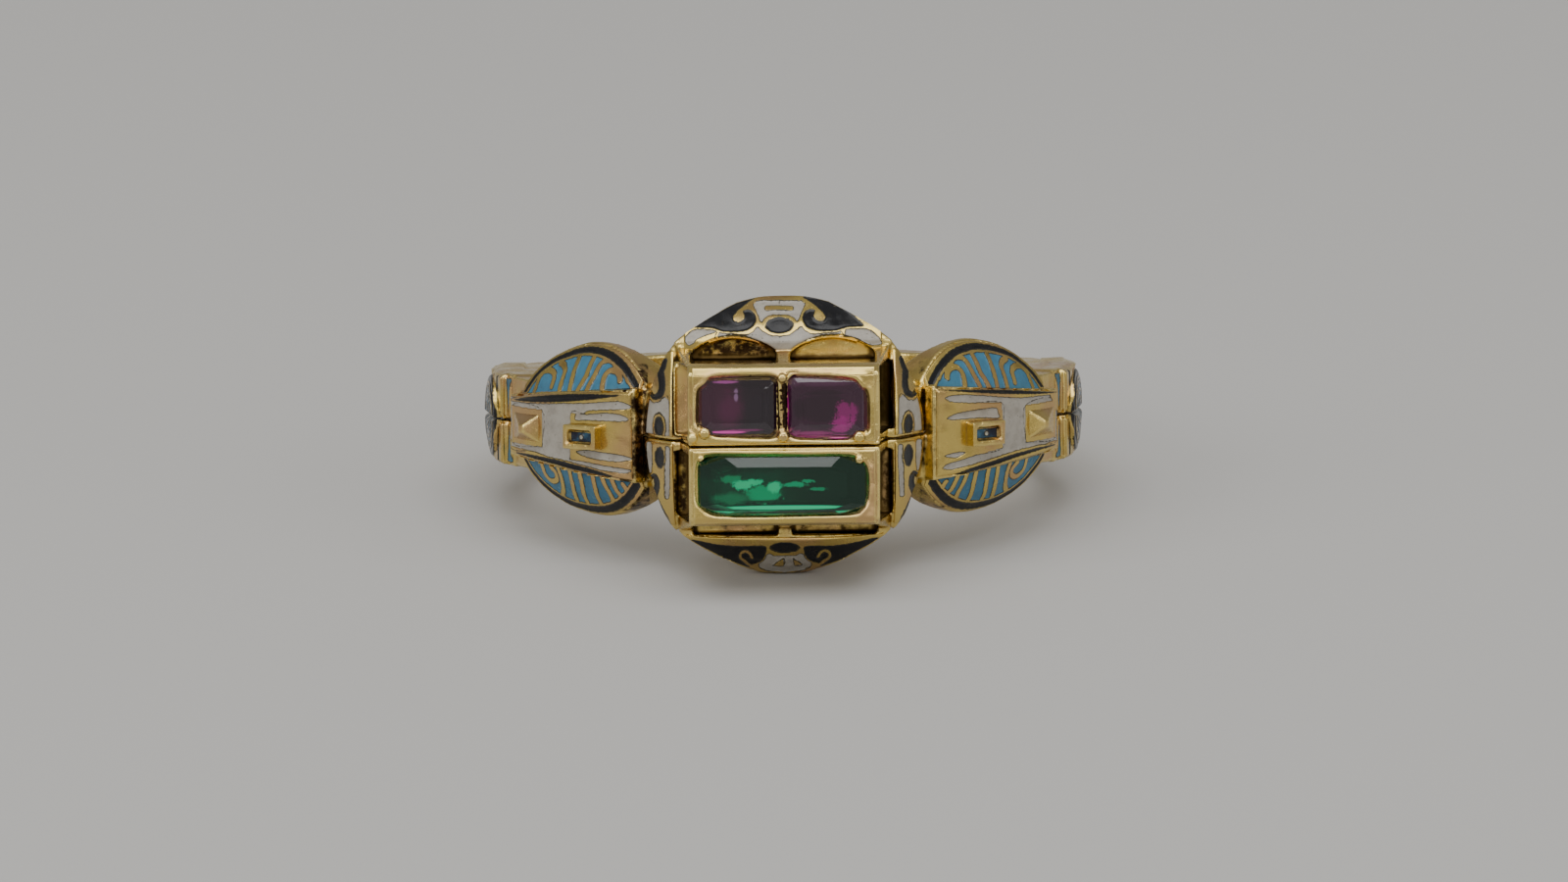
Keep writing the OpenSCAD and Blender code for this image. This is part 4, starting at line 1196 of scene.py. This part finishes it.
def polished_stone(name, tint, ior, reflecting):
    """Clear stone, a little scratched, that bends the view of its own back facets."""
    material, tree, shader = new_material(name)
    shader.inputs["Base Color"].default_value = linear(tint)
    shader.inputs["Transmission Weight"].default_value = 1.0
    shader.inputs["IOR"].default_value = ior
    scuffed = between(tree, surface_noise(tree, 0.5, 5.0), 0.45, 0.8, 0.015, 0.09)
    tree.links.new(scuffed, shader.inputs["Roughness"])
    shader.inputs["Specular IOR Level"].default_value = reflecting
    rub = node(tree, "ShaderNodeBump", {}, {"Strength": 0.25, "Distance": 0.000008,
                                            "Height": surface_noise(tree, 0.7, 3.0)})
    tree.links.new(rub.outputs["Normal"], shader.inputs["Normal"])
    return material


def painted_glow_patch(tree, middle, half_sizes, soft=0.5, ragged=0.35):
    """A soft-edged oval of painted, emitted light at this place on the bezel's face, in millimetres."""
    reach = []
    for name, centre, half_size in zip(("across", "up"), middle, half_sizes):
        aside = arith(tree, "DIVIDE", arith(tree, "SUBTRACT", painted(tree, name), centre), half_size)
        reach.append(arith(tree, "MULTIPLY", aside, aside))
    far = arith(tree, "SQRT", arith(tree, "ADD", *reach))
    far = arith(tree, "ADD", far, arith(tree, "MULTIPLY", arith(tree, "SUBTRACT", surface_noise(
        tree, 0.16, 6.0, 0.8), 0.5), ragged * 2.6))
    return between(tree, far, 1.0 + soft / 2, 1.0 - soft / 2)


def back_facets(name, dark, painted_glows, strength):
    """The stone's back: dark facets that emit painted light in patches, in place of the light that it
    returns.
    """
    material, tree, shader = new_material(name)
    colour = dark
    for middle, half_sizes, glow, amount, soft, ragged in painted_glows:
        spot = painted_glow_patch(tree, middle, half_sizes, soft, ragged)
        colour = mixed(tree, arith(tree, "MULTIPLY", spot, amount), colour, glow)
    shader.inputs["Base Color"].default_value = linear("#050505")
    shader.inputs["Specular IOR Level"].default_value = 0.1
    tree.links.new(colour, shader.inputs["Emission Color"])
    shader.inputs["Emission Strength"].default_value = strength
    shader.inputs["Roughness"].default_value = 0.35
    return material


# Glow rows, painted light emitted by the back facets: middle, half sizes, colour, how strong, how soft
# and how ragged. Stone rows: how far in front, middle, half sizes; they are the table, the bevel, the
# girdle's two edges, the back and the foot.
emerald_top = polished_stone("polished_emerald", "#86e2c2", 1.58, 0.06)
emerald_back = back_facets("emerald_back_painted_glow", "#07241a", [
    ((-0.9, -1.5), (1.9, 0.55), "#0a3d2b", 0.8, 0.9, 0.8),
    ((1.2, -1.45), (1.4, 0.55), "#09261b", 0.8, 0.9, 0.5),
    ((-1.95, -1.25), (0.4, 0.14), "#0c7a54", 0.95, 0.5, 1.1),
    ((-1.5, -1.45), (0.36, 0.17), "#16b886", 0.95, 0.4, 1.0),
    ((-1.1, -1.35), (0.3, 0.12), "#16b886", 0.9, 0.4, 1.2),
    ((-0.75, -1.8), (0.62, 0.3), "#0c9064", 0.95, 0.35, 0.9),
    ((-0.35, -1.52), (0.24, 0.2), "#16b886", 0.95, 0.4, 1.0),
    ((0.4, -1.45), (0.4, 0.09), "#0f966c", 0.9, 0.5, 1.4),
    ((0.85, -1.33), (0.25, 0.07), "#0f966c", 0.8, 0.5, 1.4),
    ((1.2, -1.62), (0.32, 0.06), "#0f8a62", 0.8, 0.5, 1.2),
    ((-1.9, -1.95), (0.6, 0.2), "#0c6a4a", 0.9, 0.9, 0.8),
    ((-0.3, -2.06), (1.2, 0.05), "#083022", 0.9, 0.5, 0.7),
    ((0.0, -2.27), (2.4, 0.07), "#14cc98", 1.0, 0.5, 0.1),
    ((0.0, -2.42), (2.9, 0.06), "#083a2c", 0.8, 0.6, 0.2)], 1.0)
step_cut("emerald_stone", [
    (14.16, 0.0, -1.52, 2.42, 0.78), (14.0, -0.06, -1.43, 2.98, 1.03), (13.84, -0.06, -1.41, 3.14, 1.12),
    (13.76, -0.06, -1.41, 3.14, 1.12), (13.3, -0.05, -1.45, 2.75, 0.9), (12.95, -0.03, -1.5, 2.3, 0.6)],
    0.3, "emerald", "emerald_half", [emerald_top, emerald_back])

ruby_top = polished_stone("polished_ruby", "#dc9cc4", 1.77, 0.1)
left_ruby_back = back_facets("left_ruby_back_painted_glow", "#180f17", [
    ((-2.3, 1.45), (0.75, 0.9), "#38142b", 0.9, 0.9, 0.5),
    ((-1.95, 1.3), (0.4, 0.45), "#4c163a", 0.8, 1.0, 0.9),
    ((-1.0, 1.3), (0.35, 0.55), "#17131a", 0.9, 0.6, 0.3),
    ((-2.0, 0.62), (0.62, 0.06), "#e052b6", 1.0, 0.5, 0.3),
    ((-1.4, 0.7), (0.6, 0.05), "#7a2c66", 0.8, 0.7, 0.6),
    ((-2.1, 2.2), (0.42, 0.07), "#a05a96", 0.95, 0.6, 0.5),
    ((-1.72, 1.75), (0.07, 0.14), "#8a7a92", 0.8, 0.8, 0.4)], 1.0)
right_ruby_back = back_facets("right_ruby_back_painted_glow", "#32112a", [
    ((1.45, 1.32), (0.95, 0.5), "#20061a", 0.97, 0.25, 0.35),
    ((2.2, 1.2), (0.28, 0.34), "#800f64", 0.95, 0.5, 1.0),
    ((2.05, 0.8), (0.3, 0.2), "#981678", 0.9, 0.6, 1.1),
    ((0.28, 1.3), (0.12, 0.6), "#9c2474", 0.9, 0.6, 0.6),
    ((1.1, 0.55), (0.7, 0.12), "#8c2c6c", 0.9, 0.7, 0.9),
    ((1.95, 0.42), (0.32, 0.07), "#e04cb8", 0.95, 0.5, 0.6),
    ((1.4, 2.2), (1.2, 0.2), "#503048", 0.9, 0.8, 0.5)], 0.95)
step_cut("left_ruby_stone", [
    (14.18, -1.66, 1.43, 0.99, 0.56), (14.04, -1.66, 1.44, 1.3, 0.98), (13.86, -1.66, 1.44, 1.45, 1.12),
    (13.76, -1.66, 1.44, 1.45, 1.12), (13.3, -1.66, 1.44, 1.15, 0.85), (12.95, -1.66, 1.44, 0.85, 0.5)],
    0.12, "ruby_left", "ruby_half", [ruby_top, left_ruby_back])
step_cut("right_ruby_stone", [
    (14.18, 1.53, 1.34, 0.9, 0.54), (14.02, 1.56, 1.38, 1.28, 0.95), (13.86, 1.58, 1.38, 1.48, 1.15),
    (13.76, 1.58, 1.38, 1.48, 1.15), (13.3, 1.58, 1.36, 1.15, 0.85), (12.95, 1.58, 1.34, 0.85, 0.5)],
    0.16, "ruby_right", "ruby_half", [ruby_top, right_ruby_back])
